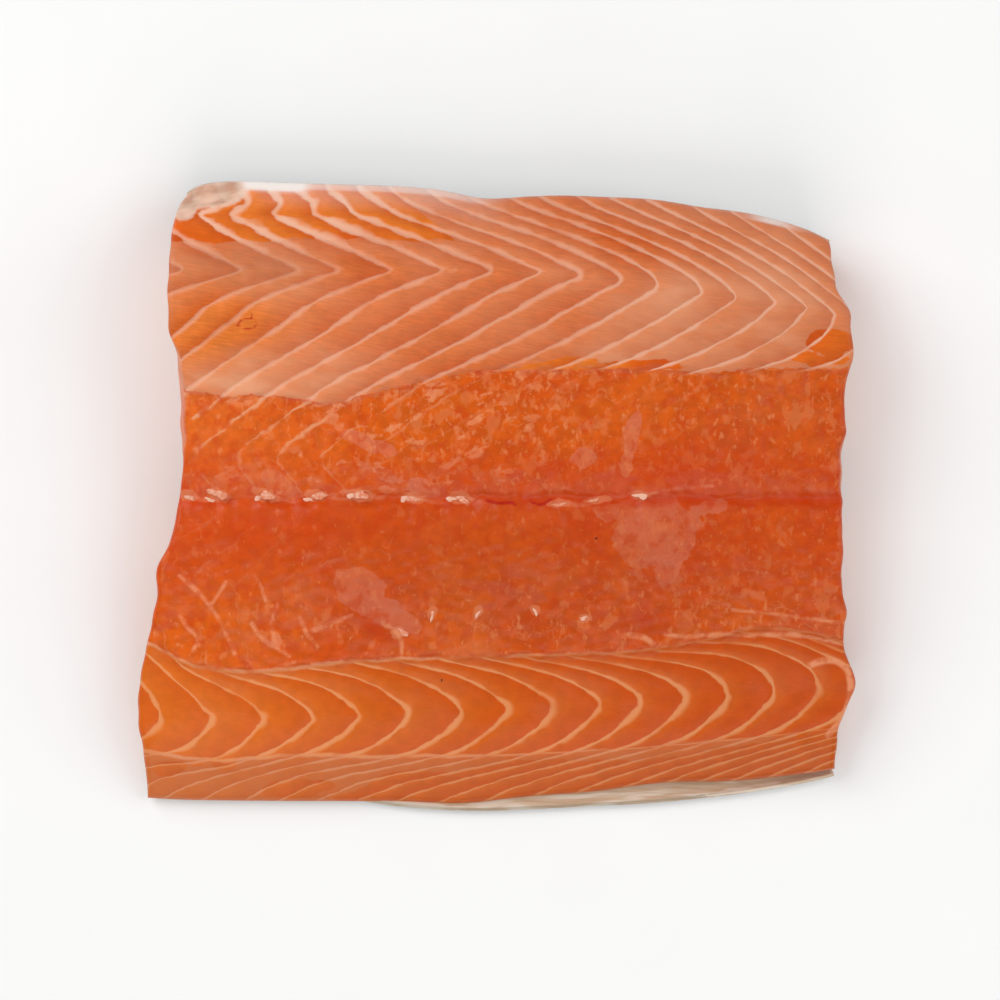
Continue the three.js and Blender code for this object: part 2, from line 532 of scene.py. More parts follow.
KNOBS = patches(
    (-73.5, 0, 3, 1.3, -15), (-66.5, 0.2, 3.6, 1.8, -20), (-55.5, 0.3, 3.6, 1.9, -18),
    (-43.4, 0.2, 3.4, 1.7, -6), (-33, 0.2, 4, 1.8, -6), (-20, -0.5, 3.8, 1.7, -6),
    (-8.8, -0.4, 3.4, 1.9, -12), (15, -1.7, 3.6, 1.1, 4), (24.5, -0.9, 3.4, 1, 8),
    (34.6, 0.3, 2.6, 1.4, 0), (-15.4, -28, 1.5, 2.4, -10), (-4.4, -28, 1.4, 2.4, -20),
    (9.2, -27.4, 1.3, 2, 15), (21, -29.3, 2.2, 1.4, 15), (-52.9, -34.6, 1.6, 2.6, 10),
    (-23.6, -32.8, 2.2, 1.8, -30),
)
# Pale strands on the cut. Two rows are painted highlights: the short mark from (-11.2, 54) to (-9.7, 54.3)
# is a glint, and the line from (-52.5, -26) to (-53.2, -35.4) is the highlight along a fold.
PALE_STRANDS_AND_HIGHLIGHTS = strands(
    (0.3, -56, 0.2, -51.5, -0.9, -47.5, -1.4), (0.35, -74.5, 0.6, -71.5, -0.9, -69, -1),
    (0.25, -43, 0.4, -38.5, -0.8, -35, -0.6), (0.35, -32.5, 0.2, -29, -0.5, -27, -0.4),
    (0.3, -21, 0.3, -17, -1.2, -13, -1.6), (0.35, -8.6, 0.3, -5, -1.2, -0.5, -1.8),
    (0.45, 13.5, -2.2, 17.5, -1.8, 21, -2.2, 26, -0.9, 30.5, -0.1), (0.3, 36, 0.4, 43, 2, 52, 2.4),
    (0.3, -43.8, -32.2, -39.7, -30.6, -34.8, -28.7),
    (0.4, -27.5, -30.4, -24.8, -32.2, -22.9, -33.6, -22.8, -37.9),
    (0.32, -76, -19.1, -71.4, -23.2, -68.1, -27.3, -65.7, -31.4, -64.4, -34.3, -62.8, -37.8),
    (0.2, -68.1, -25.7, -64.9, -20.6), (0.35, -76, -28.9, -73.9, -31.8, -71.4, -34.3, -72.9, -37.2),
    (0.3, -58.2, -19, -56.3, -21.8, -55.4, -25.2),
    (0.3, -58.7, -30.5, -57.5, -33.1, -54.1, -36, -49.6, -38.4),
    (0.25, -52.5, -26, -54.2, -30.2, -53.2, -35.4), (0.3, -47.2, -29.3, -45.5, -33.4, -43.4, -35.5),
    (0.6, 31.8, -33.4, 35, -33.6, 37.6, -35.4), (0.25, 56.5, -27.3, 66, -28.2, 75, -29.5, 83.6, -30.4),
    (0.6, 75.2, -40.6, 80, -38.9, 84.4, -41.3, 85.4, -46.6, 83.4, -52.6, 79.6, -57.4),
    (0.3, -11.2, 54, -9.7, 54.3), (0.25, 60.8, -33.4, 72, -33, 83, -35.5),
    (0.3, 40.3, -33.2, 46.3, -33.9, 53.4, -33, 62, -33.8),
)
RED_STRANDS = strands(
    (0.12, -62.5, 41, -60.8, 42.6, -57.8, 42.4, -57.4, 40.6, -60, 39.9, -62.5, 41),
    (0.1, -58.6, 43.2, -59.2, 44.6), (0.35, -2.4, -1, 0.4, -1.9, 3.4, -1.4, 4.6, -2.2),
    (0.3, 8.2, -1.2, 10.5, -2.4, 13, -0.9), (0.25, 23.6, -1.2, 24.4, -1.5),
)
STAINS = patches((36.4, -30.4, 5, 2, -4), (-30, -31.5, 7, 1.8, -28))
FLAP = patches((-69.5, 73.4, 9.4, 4.4, 6), (-75.4, 70.2, 4, 4))
DARK_SPOTS = strands(
    (0.3, 23.7, -10, 23.9, -10.2), (0.25, -13.1, -44.1, -13.2, -44.4), (0.2, -22, 70.6, -22.1, 70.4),
)


def nearest(marks: tuple[Patch | Strand, ...], x: Array, y: Array) -> Array:
    """How far a point lies outside the nearest of some patches or strands, in mm."""
    return np.minimum.reduce([mark.outside(x, y) for mark in marks])


def strongest(soft: tuple[Patch, ...], x: Array, y: Array) -> Array:
    """How much is felt of the strongest of some soft patches."""
    return np.maximum.reduce([patch.share(x, y) for patch in soft])


@dataclass(frozen=True)
class Film:
    """The thin wet film that lies on the cut, in patches with a crisp edge; its pale colour is a painted
    reflection.

    Args:
        clear: the bare patches of the loin.
        covered: the covered patches of the rough strip.
        edge_clear: the bare patches of the band at the belly edge.
        milky, thin: soft patches where the film's painted reflection is stronger or weaker, each after its
            strength.
    """

    seams: Seams = Seams()
    clear: tuple[Patch, ...] = patches(
        (81, 36.8, 6, 3.2), (74, 33.2, 5, 1), (14, 31.2, 7, 1.2, 8), (36, 31.2, 7, 1), (80, 32.6, 6, 1.2, 6),
    )
    covered: tuple[Patch, ...] = patches(
        (38.5, -8.5, 11, 8.5), (51, -2.4, 7, 2.2, 8), (41, -17.5, 4.5, 3, 60), (28, -4.5, 4, 2.4, 10),
        (-32, -23, 6, 6), (-26, -27, 4, 3, -30), (-27, 11, 7, 1.2, -20), (-21, 3.4, 8, 2.2, -14),
        (-53, 3.6, 4, 2.2, -35), (32, 12, 1.6, 6, -12), (20, 9, 4, 1.6, 12), (-24, -29.5, 4.5, 1.8, -24),
    )
    edge_clear: tuple[Patch, ...] = patches(
        (-48.4, -70, 7.4, 2, 2), (-78, -65.3, 4.8, 2, 12), (-72, -64.2, 2.2, 0.9, 4),
        (-65.2, -64.5, 3.4, 0.8, -4),
    )
    milky: Rows = (
        (1.7, -60, 28, 22, 7, 4), (0.7, 52, 45, 22, 12), (0.7, 75, 50, 14, 16), (0.9, -53, 50, 8, 5),
        (0.9, 43, 51, 8, 5), (0.8, 31, 34, 8, 6),
    )
    thin: Rows = (
        (0.5, -20, 40, 32, 13, -8), (0.3, 6, 50, 18, 5, -24), (0.4, -8, 31, 18, 4),
        (0.95, 31, 61, 20, 6, -16), (0.7, -33, 55, 8, 4), (1.4, -68, 40, 17, 9, 16),
    )

    def sheen_strength(self, x: Array, y: Array) -> Array:
        """How strong the film's painted reflection is: 1, more in the milky patches and less in the thin
        ones.
        """
        return np.maximum(1 + felt(x, y, self.milky) - felt(x, y, self.thin), 0.0)

    def depth(self, x: Array, y: Array) -> Array:
        """How far inside the film a point lies: above 0 where the film is, in mm.

        Args:
            x, y: places along and across the fish, in mm.

        Returns:
            The loin is covered but for its clear patches and its corner, the rough strip is bare but
            for its covered patches, the belly is bare, and so is the lower part of the edge band.
        """
        corner = np.minimum(y - 61.2 - 0.012 * (x + 60), -(x + 10) - 1.1 * np.maximum(y - 61, 0))
        loin = np.minimum(-corner, nearest(self.clear, x, y))
        limit = -72.0 + 5.6 * ease(x, -40, -24) + 3.0 * ease(x, -20, 12) + 6.0 * ease(x, 30, 80)
        head = np.where(x < -39, 4.0, y - limit)
        edge = np.minimum(head, nearest(self.edge_clear, x, y))
        edge = np.minimum(edge, self.seams.lower_seam(x) - y)
        outer = np.where(y > self.seams.loin_edge(x), loin, -nearest(self.covered, x, y))
        return np.where(y < self.seams.belly_seam(x), edge, outer)


@dataclass(frozen=True)
class Relief:
    """The fine shape of the cut surface, over the plain section, in mm.

    Args:
        waves: slow waves: the height, the lengths along and across the fish, and the start of each.
    """

    form: Form = Form()
    seams: Seams = Seams()
    groove_depth: float = 1.6
    groove_wide: float = 5.5
    crease_depth: float = 1.1
    crease_wide: float = 1.3
    loin_step: float = 0.9
    belly_step: float = 1.1
    step_wide: float = 0.7
    layer_depth: float = 0.16
    layer_wide: float = 0.9
    rough_height: float = 0.12
    flesh_height: float = 0.07
    waves: Rows = ((0.26, 58, 90, 0.6), (0.22, -41, 63, 2.1), (0.15, 27, -38, 4.4))
    rough: Ripple = Ripple(2.6, 8.0, 40, 5)
    calm: Ripple = Ripple(5.0, 16.0, 24, 7)

    def height(self, x: Array, y: Array, number: Array, pitch: Array) -> Array:
        """The height of the cut flesh over the resting surface.

        Args:
            x, y: places along and across the fish, in mm.
            number, pitch: the layer number at each point, and how far apart the layers lie there.

        Returns:
            The section, less the groove along the middle and its crease, with a step down at each side
            of the rough strip, slow waves, a shallow furrow at each pale layer, and roughness.
        """
        base = self.form.thickness(x, y)
        wander = 0.5 * self.calm.at(x * 1.3, y)
        off_centre = y - self.seams.centre - wander
        groove = self.groove_depth * hump(off_centre, 0, self.groove_wide)
        crease = self.crease_depth * hump(off_centre, 0, self.crease_wide)
        loin = ease(y - self.seams.loin_edge(x) - wander, -self.step_wide, self.step_wide)
        belly = ease(self.seams.belly_seam(x) - y + wander, -self.step_wide, self.step_wide)
        steps = self.loin_step * (loin - 0.5) - self.belly_step * (belly - 0.5)
        waves = sum(
            high * np.sin(math.tau * (x / along + y / across) + start)
            for high, along, across, start in self.waves
        )
        clean = loin + belly
        gap = np.abs(number - np.round(number)) * pitch
        furrow = self.layer_depth * clean * hump(gap, 0, self.layer_wide)
        rough = self.rough_height * (1 - clean) * self.rough.at(x, y)
        calm = self.flesh_height * self.calm.at(x, y)
        steady = np.minimum(1.0, base / (self.form.loin_thickness / 2))
        return base - groove - crease + steps - furrow + (waves + rough + calm) * steady


def maths(operation: str) -> Callable[..., "Wire"]:
    """Makes a method of Wire.

    Args:
        operation: what the Math node does.

    Returns:
        The method: it adds one Math node, which works on the wire and on what else it is given.
    """

    def method(wire: "Wire", *others: "Wire | float") -> "Wire":
        """The Math node's output."""
        values = dict(enumerate((wire, *others)))
        return wire.tree.add("ShaderNodeMath", {"operation": operation}, values)

    return method


class Wire:
    """One output in a node tree, on which Python's operators add Math nodes."""

    def __init__(self, tree: "Tree", socket: bpy.types.NodeSocket) -> None:
        """Keeps the output and the tree that it belongs to."""
        self.tree = tree
        self.socket = socket

    __add__ = __radd__ = maths("ADD")
    __sub__ = maths("SUBTRACT")
    __mul__ = __rmul__ = maths("MULTIPLY")
    # Without its sign; what is over the whole number below; the smaller and the larger of two.
    size, fraction, least, most = map(maths, ("ABSOLUTE", "FRACT", "MINIMUM", "MAXIMUM"))

    def __rsub__(self, other: float) -> "Wire":
        """other - self."""
        return self.tree.add("ShaderNodeMath", {"operation": "SUBTRACT"}, {0: other, 1: self})

    def rise(self, start: "Wire | float", end: "Wire | float") -> "Wire":
        """A smooth rise from 0 at start to 1 at end, held to 0 and 1 outside them."""
        settings = {"interpolation_type": "SMOOTHSTEP"}
        return self.tree.add("ShaderNodeMapRange", settings, {"Value": self, 1: start, 2: end})


class Tree:
    """The node tree of one material, which ends in one glossy surface."""

    def __init__(self, name: str) -> None:
        """Starts an empty material of that name, with places in mm."""
        self.material = bpy.data.materials.new(name)
        self.material.use_nodes = True
        self.nodes = self.material.node_tree.nodes
        self.links = self.material.node_tree.links
        self.nodes.clear()
        place = self.add("ShaderNodeTexCoord", {}, {}, "Object")
        self.place = self.add("ShaderNodeVectorMath", {"operation": "SCALE"}, {0: place, "Scale": 1 / MM})

    def add(self, kind: str, settings: dict, values: dict, output: int | str = 0) -> Wire:
        """Adds one node.

        Args:
            kind: the type of the node.
            settings: its settings, which are set first.
            values: what goes to its inputs, by name or number: a Wire, a number or a colour.
            output: which output is wanted.

        Returns:
            That output.
        """
        node = self.nodes.new(kind)
        for name, value in settings.items():
            setattr(node, name, value)
        for key, value in values.items():
            socket = node.inputs[key]
            if isinstance(value, Wire):
                self.links.new(value.socket, socket)
            elif isinstance(value, tuple) and socket.type == "RGBA":
                socket.default_value = (*value, 1.0)
            else:
                socket.default_value = value
        return Wire(self, node.outputs[output])

    def attribute(self, name: str) -> Wire:
        """A number that the mesh holds at each point."""
        return self.add("ShaderNodeAttribute", {"attribute_name": name}, {}, "Fac")

    def noise(self, size: float, detail: float = 2, stretch: Colour = (1, 1, 1), turn: float = 0) -> Wire:
        """Cloudy noise around 0.5.

        Args:
            size: the size of its lumps, in mm.
            detail: how many finer steps are added.
            stretch: how many times longer the lumps are along each axis.
            turn: how far the long axis is turned about Z, in degrees.

        Returns:
            The value of the noise.
        """
        scale = tuple(1 / (size * axis) for axis in stretch)
        turned = {"Vector": self.place, "Rotation": (0.0, 0.0, math.radians(turn))}
        place = self.add("ShaderNodeMapping", {"vector_type": "TEXTURE"}, turned)
        place = self.add("ShaderNodeVectorMath", {"operation": "MULTIPLY"}, {0: place, 1: scale})
        return self.add("ShaderNodeTexNoise", {}, {"Vector": place, "Scale": 1.0, "Detail": detail})

    def mix(self, share: Wire, first: Wire | Colour, second: Wire | Colour) -> Wire:
        """Colours first and second, blended by a share from 0 to 1."""
        return self.add("ShaderNodeMix", {"data_type": "RGBA"}, {0: share, 6: first, 7: second}, 2)

    def cover(self, colour: Wire, *coats: tuple[Wire, Wire | Colour]) -> Wire:
        """Lays thin coats over a colour.

        Args:
            colour: the colour under all coats.
            coats: each coat's share from 0 to 1 and its colour, the lowest coat first.

        Returns:
            The colour with every coat blended in.
        """
        for share, coat in coats:
            colour = self.mix(share, colour, coat)
        return colour

    def shade(self, colour: Wire, amount: Wire) -> Wire:
        """Makes a colour lighter or darker.

        Args:
            colour: the colour.
            amount: what each of its channels is multiplied by.

        Returns:
            The product.
        """
        grey = self.add("ShaderNodeCombineColor", {}, {0: amount, 1: amount, 2: amount})
        settings = {"data_type": "RGBA", "blend_type": "MULTIPLY"}
        return self.add("ShaderNodeMix", settings, {0: 1.0, 6: colour, 7: grey}, 2)

    def finish(self, colour: Wire, roughness: Wire, height: Wire, fixed: dict) -> bpy.types.Material:
        """Ends the tree in one surface.

        Args:
            colour, roughness: the surface's base colour and roughness.
            height: its fine relief, in mm.
            fixed: the sockets that are the same all over.

        Returns:
            The finished material.
        """
        bump = self.add("ShaderNodeBump", {}, {"Height": height, "Distance": MM, "Strength": 1.0})
        values = {"Base Color": colour, "Roughness": roughness, "Normal": bump, **fixed}
        surface = self.add("ShaderNodeBsdfPrincipled", {}, values)
        output = self.nodes.new("ShaderNodeOutputMaterial")
        self.links.new(surface.socket, output.inputs["Surface"])
        return self.material


@dataclass(frozen=True)
class FleshFinish:
    """Moist orange muscle: pale layers, a wet film with a painted sheen, torn flecks and traces of blood."""

    clear: Colour = srgb(211, 86, 2)
    clear_light: Colour = srgb(217, 112, 30)
    loin: Colour = srgb(201, 96, 38)
    rough: Colour = srgb(206, 87, 2)
    rough_deep: Colour = srgb(194, 64, 0)
    belly: Colour = srgb(199, 88, 0)
    belly_deep: Colour = srgb(197, 77, 0)
    # The darker colour of the painted shade across each muscle block.
    deep_block_shade: Colour = srgb(196, 66, 2)
    # The three film colours are a painted reflection: the pale sheen of light on the wet film, laid on as
    # colour.
    film: Colour = srgb(221, 153, 114)
    film_sheen_low: Colour = srgb(201, 112, 60)
    film_sheen_rough: Colour = srgb(206, 108, 80)
    line: Colour = srgb(233, 183, 156)
    belly_line: Colour = srgb(222, 146, 92)
    fleck: Colour = srgb(224, 131, 78)
    strand: Colour = srgb(228, 144, 100)
    fat: Colour = srgb(222, 192, 168)
    dark_muscle: Colour = srgb(150, 88, 62)
    fascia: Colour = srgb(182, 150, 130)
    veil: Colour = srgb(226, 198, 178)
    fringe: Colour = srgb(234, 224, 218)
    glow: Colour = srgb(225, 121, 44)
    blush: Colour = srgb(198, 52, 0)
    blood: Colour = srgb(176, 14, 8)
    spot: Colour = srgb(60, 26, 18)

    def material(self) -> bpy.types.Material:
        """Builds the material; its patterns follow the numbers that the mesh holds."""
        tree = Tree("salmon_flesh")
        at, noise, mix = tree.attribute, tree.noise, tree.mix
        top = 1 - at("cut")
        broad = noise(26.0)
        medium = noise(6.0)
        small = noise(1.8)
        sway, shake = medium - 0.5, small - 0.5
        side, tailward = at("belly_side"), at("tailward")

        loin = (at("loin") + sway * 3.2 + shake * 1.5).rise(-0.2, 0.2)
        belly = (at("belly") + sway * 1.4).rise(-0.4, 0.4)
        strip = (1 - loin) * (1 - belly) * top

        restless = 1 + strip * 1.6 + at("edge_band").rise(0.0, 1.0)
        wobble = (sway * 0.16 + shake * 0.05) * restless
        back_number, belly_number = at("back_layer") + wobble, at("belly_layer") + wobble
        back_gap = ((back_number + 0.5).fraction() - 0.5) * at("back_pitch")
        belly_gap = ((belly_number + 0.5).fraction() - 0.5) * at("belly_pitch")
        gap = back_gap * (1 - side) + belly_gap * side
        ahead = back_number.fraction() * (1 - side) + belly_number.fraction() * side
        half = at("line_width") * (0.5 + 0.75 * noise(5.5).rise(0.32, 0.7)) * (0.75 + 0.5 * small)
        line = gap.rise(half * -1.0, half * -0.3) * (1 - gap.rise(half * 0.2, half * 1.9))
        line = line * at("line_strength") * (0.6 + 0.4 * noise(11.0).rise(0.3, 0.5))
        line = line * (1 - strip * (1 - noise(5.0).rise(0.36, 0.52)))
        # Painted shade and light across each muscle block: darker towards the next pale layer, lighter just
        # after one.
        clean = 1 - strip * 0.75
        before = ahead.rise(0.3, 1.0) * clean * (1 - belly * 0.35)
        past = (1 - ahead.rise(0.02, 0.5)) * clean

        fibres = noise(0.33, 1.0, (14, 1, 1), -9.0).rise(0.34, 0.66)
        streaks = noise(0.9, 2.0, (8, 1, 1), -9.0)
        edge = (noise(9.0, 1.0) - 0.5) * 7 + sway * 4 + shake * 1.6
        film = (at("film") + edge * (0.45 + 0.55 * strip)).rise(-0.12, 0.12) * top

        clear = mix(broad.rise(0.35, 0.65), self.clear, self.clear_light)
        colour = tree.cover(
            mix(loin, clear, self.loin),
            (1 - film * loin, clear),
            (belly, mix(tailward, self.belly, self.belly_deep)),
            (strip, mix(broad.rise(0.35, 0.7) * 0.7, self.rough, self.rough_deep)),
            (at("glow") * top, self.glow),
            # Painted shade and light across each block: the deep colour before the next layer, the light one
            # just after a layer.
            (before * 0.5, self.deep_block_shade),
            (past * (0.18 + 0.12 * belly), self.clear_light),
        )
        muscle = (1 - strip * 0.7) * (1 - belly * 0.75) * (0.45 + 0.55 * film)
        grain = (fibres - 0.5) * 0.16 + (streaks - 0.5) * 0.24
        mottle = noise(2.8, 3.0).rise(0.35, 0.65) - 0.5
        colour = tree.shade(colour, 1 - grain * muscle)
        colour = tree.shade(colour, 1 + mottle * (0.09 + 0.1 * strip))

        # Painted reflection: the wet film's pale sheen, laid on as colour over the loin and over the covered
        # patches of the rough strip.
        cloud = noise(6.0, 3.0, (2.4, 1, 1), -9.0).rise(0.34, 0.66)
        low_film_sheen = mix(belly, self.film_sheen_rough, self.film_sheen_low)
        colour = tree.cover(
            colour,
            (film * loin * at("sheen_strength") * (0.23 + 0.17 * cloud), self.film),
            (film * (1 - loin) * (0.4 + 0.25 * cloud), low_film_sheen),
        )
        # Painted shade and light across each block, once more in the loin.
        colour = tree.shade(colour, 1 + (past * 0.06 - before * 0.08) * loin)
        pale = mix(loin.most(film * 0.35).most(strip * 0.35), self.belly_line, self.line)
        uneven = sway * 1.4
        seam = (at("belly") + uneven).size().least((at("edge_band") + uneven).size()) + shake * 0.3
        seam = 1 - seam.rise(0.15, 0.75 - 0.25 * tailward)
        seam = seam * (noise(7.0).rise(0.3, 0.5) * 0.55 + 0.2) * (1 - 0.6 * tailward)
        # Pale strands, among them a painted glint and the painted highlight along a fold.
        strand = 1 - (at("pale") + sway * 0.9).rise(-0.35, 0.5)
        strand = strand * (0.35 + 0.65 * noise(2.6).rise(0.34, 0.56))

        keep = (1 - at("torn")) * 0.07
        flecks = (noise(1.9, 3.0, (0.8, 1.3, 1)) - keep).rise(0.56, 0.7) * 0.6
        dots = (noise(0.8, 1.0) - keep).rise(0.66, 0.77) * 0.5
        blots = (noise(4.4, 3.0, (0.8, 1.2, 1)) - keep).rise(0.555, 0.64) * 0.34
        threads = 1 - (noise(5.5, 2.0) - 0.5).size().rise(0.0, 0.03)
        threads = threads * (noise(5.0) - keep).rise(0.48, 0.62) * 0.35
        torn = flecks.most(dots).most(blots).most(threads) * strip
        torn = torn * (1 - at("blush") * 0.7) * (1 - at("warm") * 0.6)
        pits = noise(3.4, 3.0).rise(0.48, 0.68) * strip
        milky = noise(7.0, 4.0, (1.6, 1, 1), 20.0).rise(0.44, 0.68) * (1 - at("torn")) * strip
        tufts = noise(3.2, 3.0, (1.7, 1, 1), 20.0).rise(0.57, 0.65) * at("torn").rise(0.45, 0.9)
        tufts = tufts * strip * (1 - film) * (0.55 - 0.42 * tailward.rise(0.3, 0.7))
        warm = at("warm") * (0.7 + 0.6 * broad) * (1 - film * 0.8) * (1 - torn * 0.7)

        knob = (at("knob") + shake * 0.9 + sway * 0.5).rise(0.38, 0.62)
        blood = (1 - (at("red") + shake * 0.5).rise(-0.1, 0.2)) * 0.75
        flap = at("fascia") + sway * 2.4 + shake * 1.2
        folds = noise(3.4, 2.0, (2.4, 1, 1), 25.0).rise(0.35, 0.7)
        colour = tree.cover(
            colour,
            (line.most(seam * top) * (0.9 - 0.25 * film), pale),
            (strand * 0.9 * top, self.strand),
            (pits * 0.65, self.rough_deep),
            (milky * (1 - at("warm")) * 0.22, self.fleck),
            (torn, self.fleck),
            (tufts, self.strand),
            (warm * strip, self.blush),
            (at("blush") * (0.3 + 0.7 * medium.rise(0.3, 0.6)) * 0.8 * top, self.blush),
            (knob * 0.4 * top, self.strand),
            (blood * top, self.blood),
            (1 - at("spot").rise(-0.1, 0.1), self.spot),
            (flap.rise(-0.3, 0.5) * 0.8 * top, mix(folds, self.fascia, self.veil)),
            ((1 - flap.size().rise(0.1, 0.7)) * 0.5 * top, self.veil),
            (at("fringe"), self.fringe),
            (at("fat") * 0.9, self.fat),
            (at("dark") * 0.8, self.dark_muscle),
        )
        colour = tree.shade(colour, at("tone"))

        roughness = 0.36 + 0.1 * film + 0.08 * shake + 0.08 * torn
        height = 0.012 * fibres + 0.04 * streaks + 0.03 * noise(0.55)
        height = height + 0.08 * small * strip + 0.05 * torn + 0.03 * film
        fixed = {
            "IOR": 1.33, "Specular IOR Level": 0.35,
            "Subsurface Weight": 0.1, "Subsurface Radius": (1.0, 0.35, 0.15), "Subsurface Scale": 0.0015,
            "Coat Weight": 0.14, "Coat Roughness": 0.08, "Coat IOR": 1.34,
        }
        return tree.finish(colour, roughness, height, fixed)


@dataclass(frozen=True)
class SkinFinish:
    """Skin: silver scales that darken to the back outside, and cream fat inside."""

    silver: Colour = srgb(196, 200, 198)
    steel: Colour = srgb(78, 92, 98)
    back: Colour = srgb(38, 46, 50)
    fat: Colour = srgb(206, 181, 154)
    fat_light: Colour = srgb(219, 203, 184)
    fat_dark: Colour = srgb(192, 162, 132)

    def material(self) -> bpy.types.Material:
        """Builds the material; the scales follow the numbers that the mesh holds."""
        tree = Tree("salmon_skin")
        at, noise, mix = tree.attribute, tree.noise, tree.mix
        inside, scale = at("inside"), at("scale_rise")
        small = noise(1.4)
        dark = (at("around") + (noise(14.0) - 0.5) * 22.0).rise(70.0, 150.0)
        silver = mix(dark.rise(0.0, 0.55), self.silver, self.steel)
        outer = mix(dark.rise(0.5, 1.0), silver, self.back)
        outer = tree.shade(outer, 0.72 + 0.4 * scale + (noise(0.8) - 0.5) * 0.3)
        outer = mix(noise(5.0, 0.0).rise(0.70, 0.73) * dark * 0.7, outer, self.back)
        streaks = noise(0.9, 3.0, (14, 1, 1), -3.0)
        fat = mix(streaks.rise(0.35, 0.6), self.fat_dark, self.fat)
        fat = mix(noise(1.6, 2.0, (9, 1, 1), 2.0).rise(0.5, 0.66), fat, self.fat_light)
        roughness = 0.30 + 0.12 * inside + (small - 0.5) * 0.15
        height = 0.06 * scale * (1 - inside) + 0.04 * streaks * inside + 0.02 * small
        fixed = {
            "IOR": 1.42, "Metallic": 0.0, "Coat Weight": 0.35, "Coat Roughness": 0.15,
            "Subsurface Weight": 0.08, "Subsurface Radius": (1.0, 0.6, 0.4), "Subsurface Scale": 0.0015,
        }
        return tree.finish(mix(inside, outer, fat), roughness, height, fixed)


@dataclass(frozen=True)
class BoneFinish:
    """Pale gristle around the cut ends of small bones; its whiter parts are painted highlights."""

    pink: Colour = srgb(216, 122, 82)
    # Partly pale gristle, partly painted highlight: the tips and the small lumps beside the larger ones.
    white_and_highlight: Colour = srgb(232, 176, 150)

    def material(self) -> bpy.types.Material:
        """Builds the material: whiter towards the tip of each end, as a painted highlight."""
        tree = Tree("bone_end")
        small = tree.noise(0.7)
        white_and_highlight = (tree.attribute("white_and_highlight") + (small - 0.5) * 1.1).rise(0.35, 0.85)
        fixed = {
            "IOR": 1.42, "Coat Weight": 0.3, "Coat Roughness": 0.15,
            "Subsurface Weight": 0.15, "Subsurface Radius": (1.0, 0.6, 0.4), "Subsurface Scale": 0.001,
        }
        return tree.finish(tree.mix(white_and_highlight, self.pink, self.white_and_highlight), 0.32 + 0.2 * small, 0.05 * small, fixed)


def build_mesh(name: str, points: Array, quads: Array, triangles: Array, numbers: dict) -> bpy.types.Object:
    """Makes a mesh object from whole arrays.

    Args:
        name: the name of the piece.
        points: the places of its points, in mm, one row each.
        quads, triangles: its four-sided and three-sided faces, as rows of point numbers.
        numbers: the values that each point holds, by name.

    Returns:
        The new object, smooth shaded, at the origin.
    """
    mesh = bpy.data.meshes.new(name)
    corners = np.concatenate([quads.ravel(), triangles.ravel()]).astype(np.int32)
    ends = np.cumsum([4] * len(quads) + [3] * len(triangles))
    starts = np.append(0, ends[:-1]).astype(np.int32)
    mesh.vertices.add(len(points))
    mesh.vertices.foreach_set("co", (points * MM).astype(np.float32).ravel())
    mesh.loops.add(len(corners))
    mesh.loops.foreach_set("vertex_index", corners)
    mesh.polygons.add(len(starts))
    mesh.polygons.foreach_set("loop_start", starts)
    mesh.update(calc_edges=True)
    mesh.polygons.foreach_set("use_smooth", np.ones(len(starts), dtype=bool))
    for key, values in numbers.items():
        held = mesh.attributes.new(key, "FLOAT", "POINT")
        held.data.foreach_set("value", np.ascontiguousarray(values, dtype=np.float32).ravel())
    mesh.validate()
    piece = bpy.data.objects.new(name, mesh)
    bpy.context.scene.collection.objects.link(piece)
    log.info("%s: %d points, %d faces", name, len(points), len(starts))
    return piece


def set_bake_map(piece: bpy.types.Object, places: Array) -> None:
    """Gives the piece its map named OFBake: one place from 0 to 1 for each corner of a face."""
    layer = piece.data.uv_layers.new(name="OFBake")
    layer.data.foreach_set("uv", places.astype(np.float32).ravel())


def shares(rows: int, columns: int) -> tuple[Array, Array]:
    """Even shares from 0 to 1 along and across a grid of points."""
    return np.meshgrid(np.linspace(0, 1, rows), np.linspace(0, 1, columns), indexing="ij")


def grid_quads(rows: int, columns: int) -> Array:
    """The faces of a grid of points.

    Args:
        rows, columns: the size of the grid, whose points are stored row by row.

    Returns:
        Four point numbers for each face; the faces turn left when they are seen from the grid's front.
    """
    numbers = np.arange(rows * columns).reshape(rows, columns)
    corners = (numbers[:-1, :-1], numbers[1:, :-1], numbers[1:, 1:], numbers[:-1, 1:])
    return np.stack(corners, axis=-1).reshape(-1, 4)


def grid_border(rows: int, columns: int) -> Array:
    """The points around the border of such a grid, in order."""
    numbers = np.arange(rows * columns).reshape(rows, columns)
    return np.concatenate([numbers[:-1, 0], numbers[-1, :-1], numbers[:0:-1, -1], numbers[0, :0:-1]])


@dataclass(frozen=True)
class Bands:
    """Where points lie among the bands of the cut.

    Args:
        in_loin, in_belly, in_edge: how far they lie inside the loin, the belly and its edge band, in mm.
        loin, belly, edge, upper: their shares of those bands and of the back half, from 0 to 1.
    """

    in_loin: Array
    in_belly: Array
    in_edge: Array
    loin: Array
    belly: Array
    edge: Array
    upper: Array


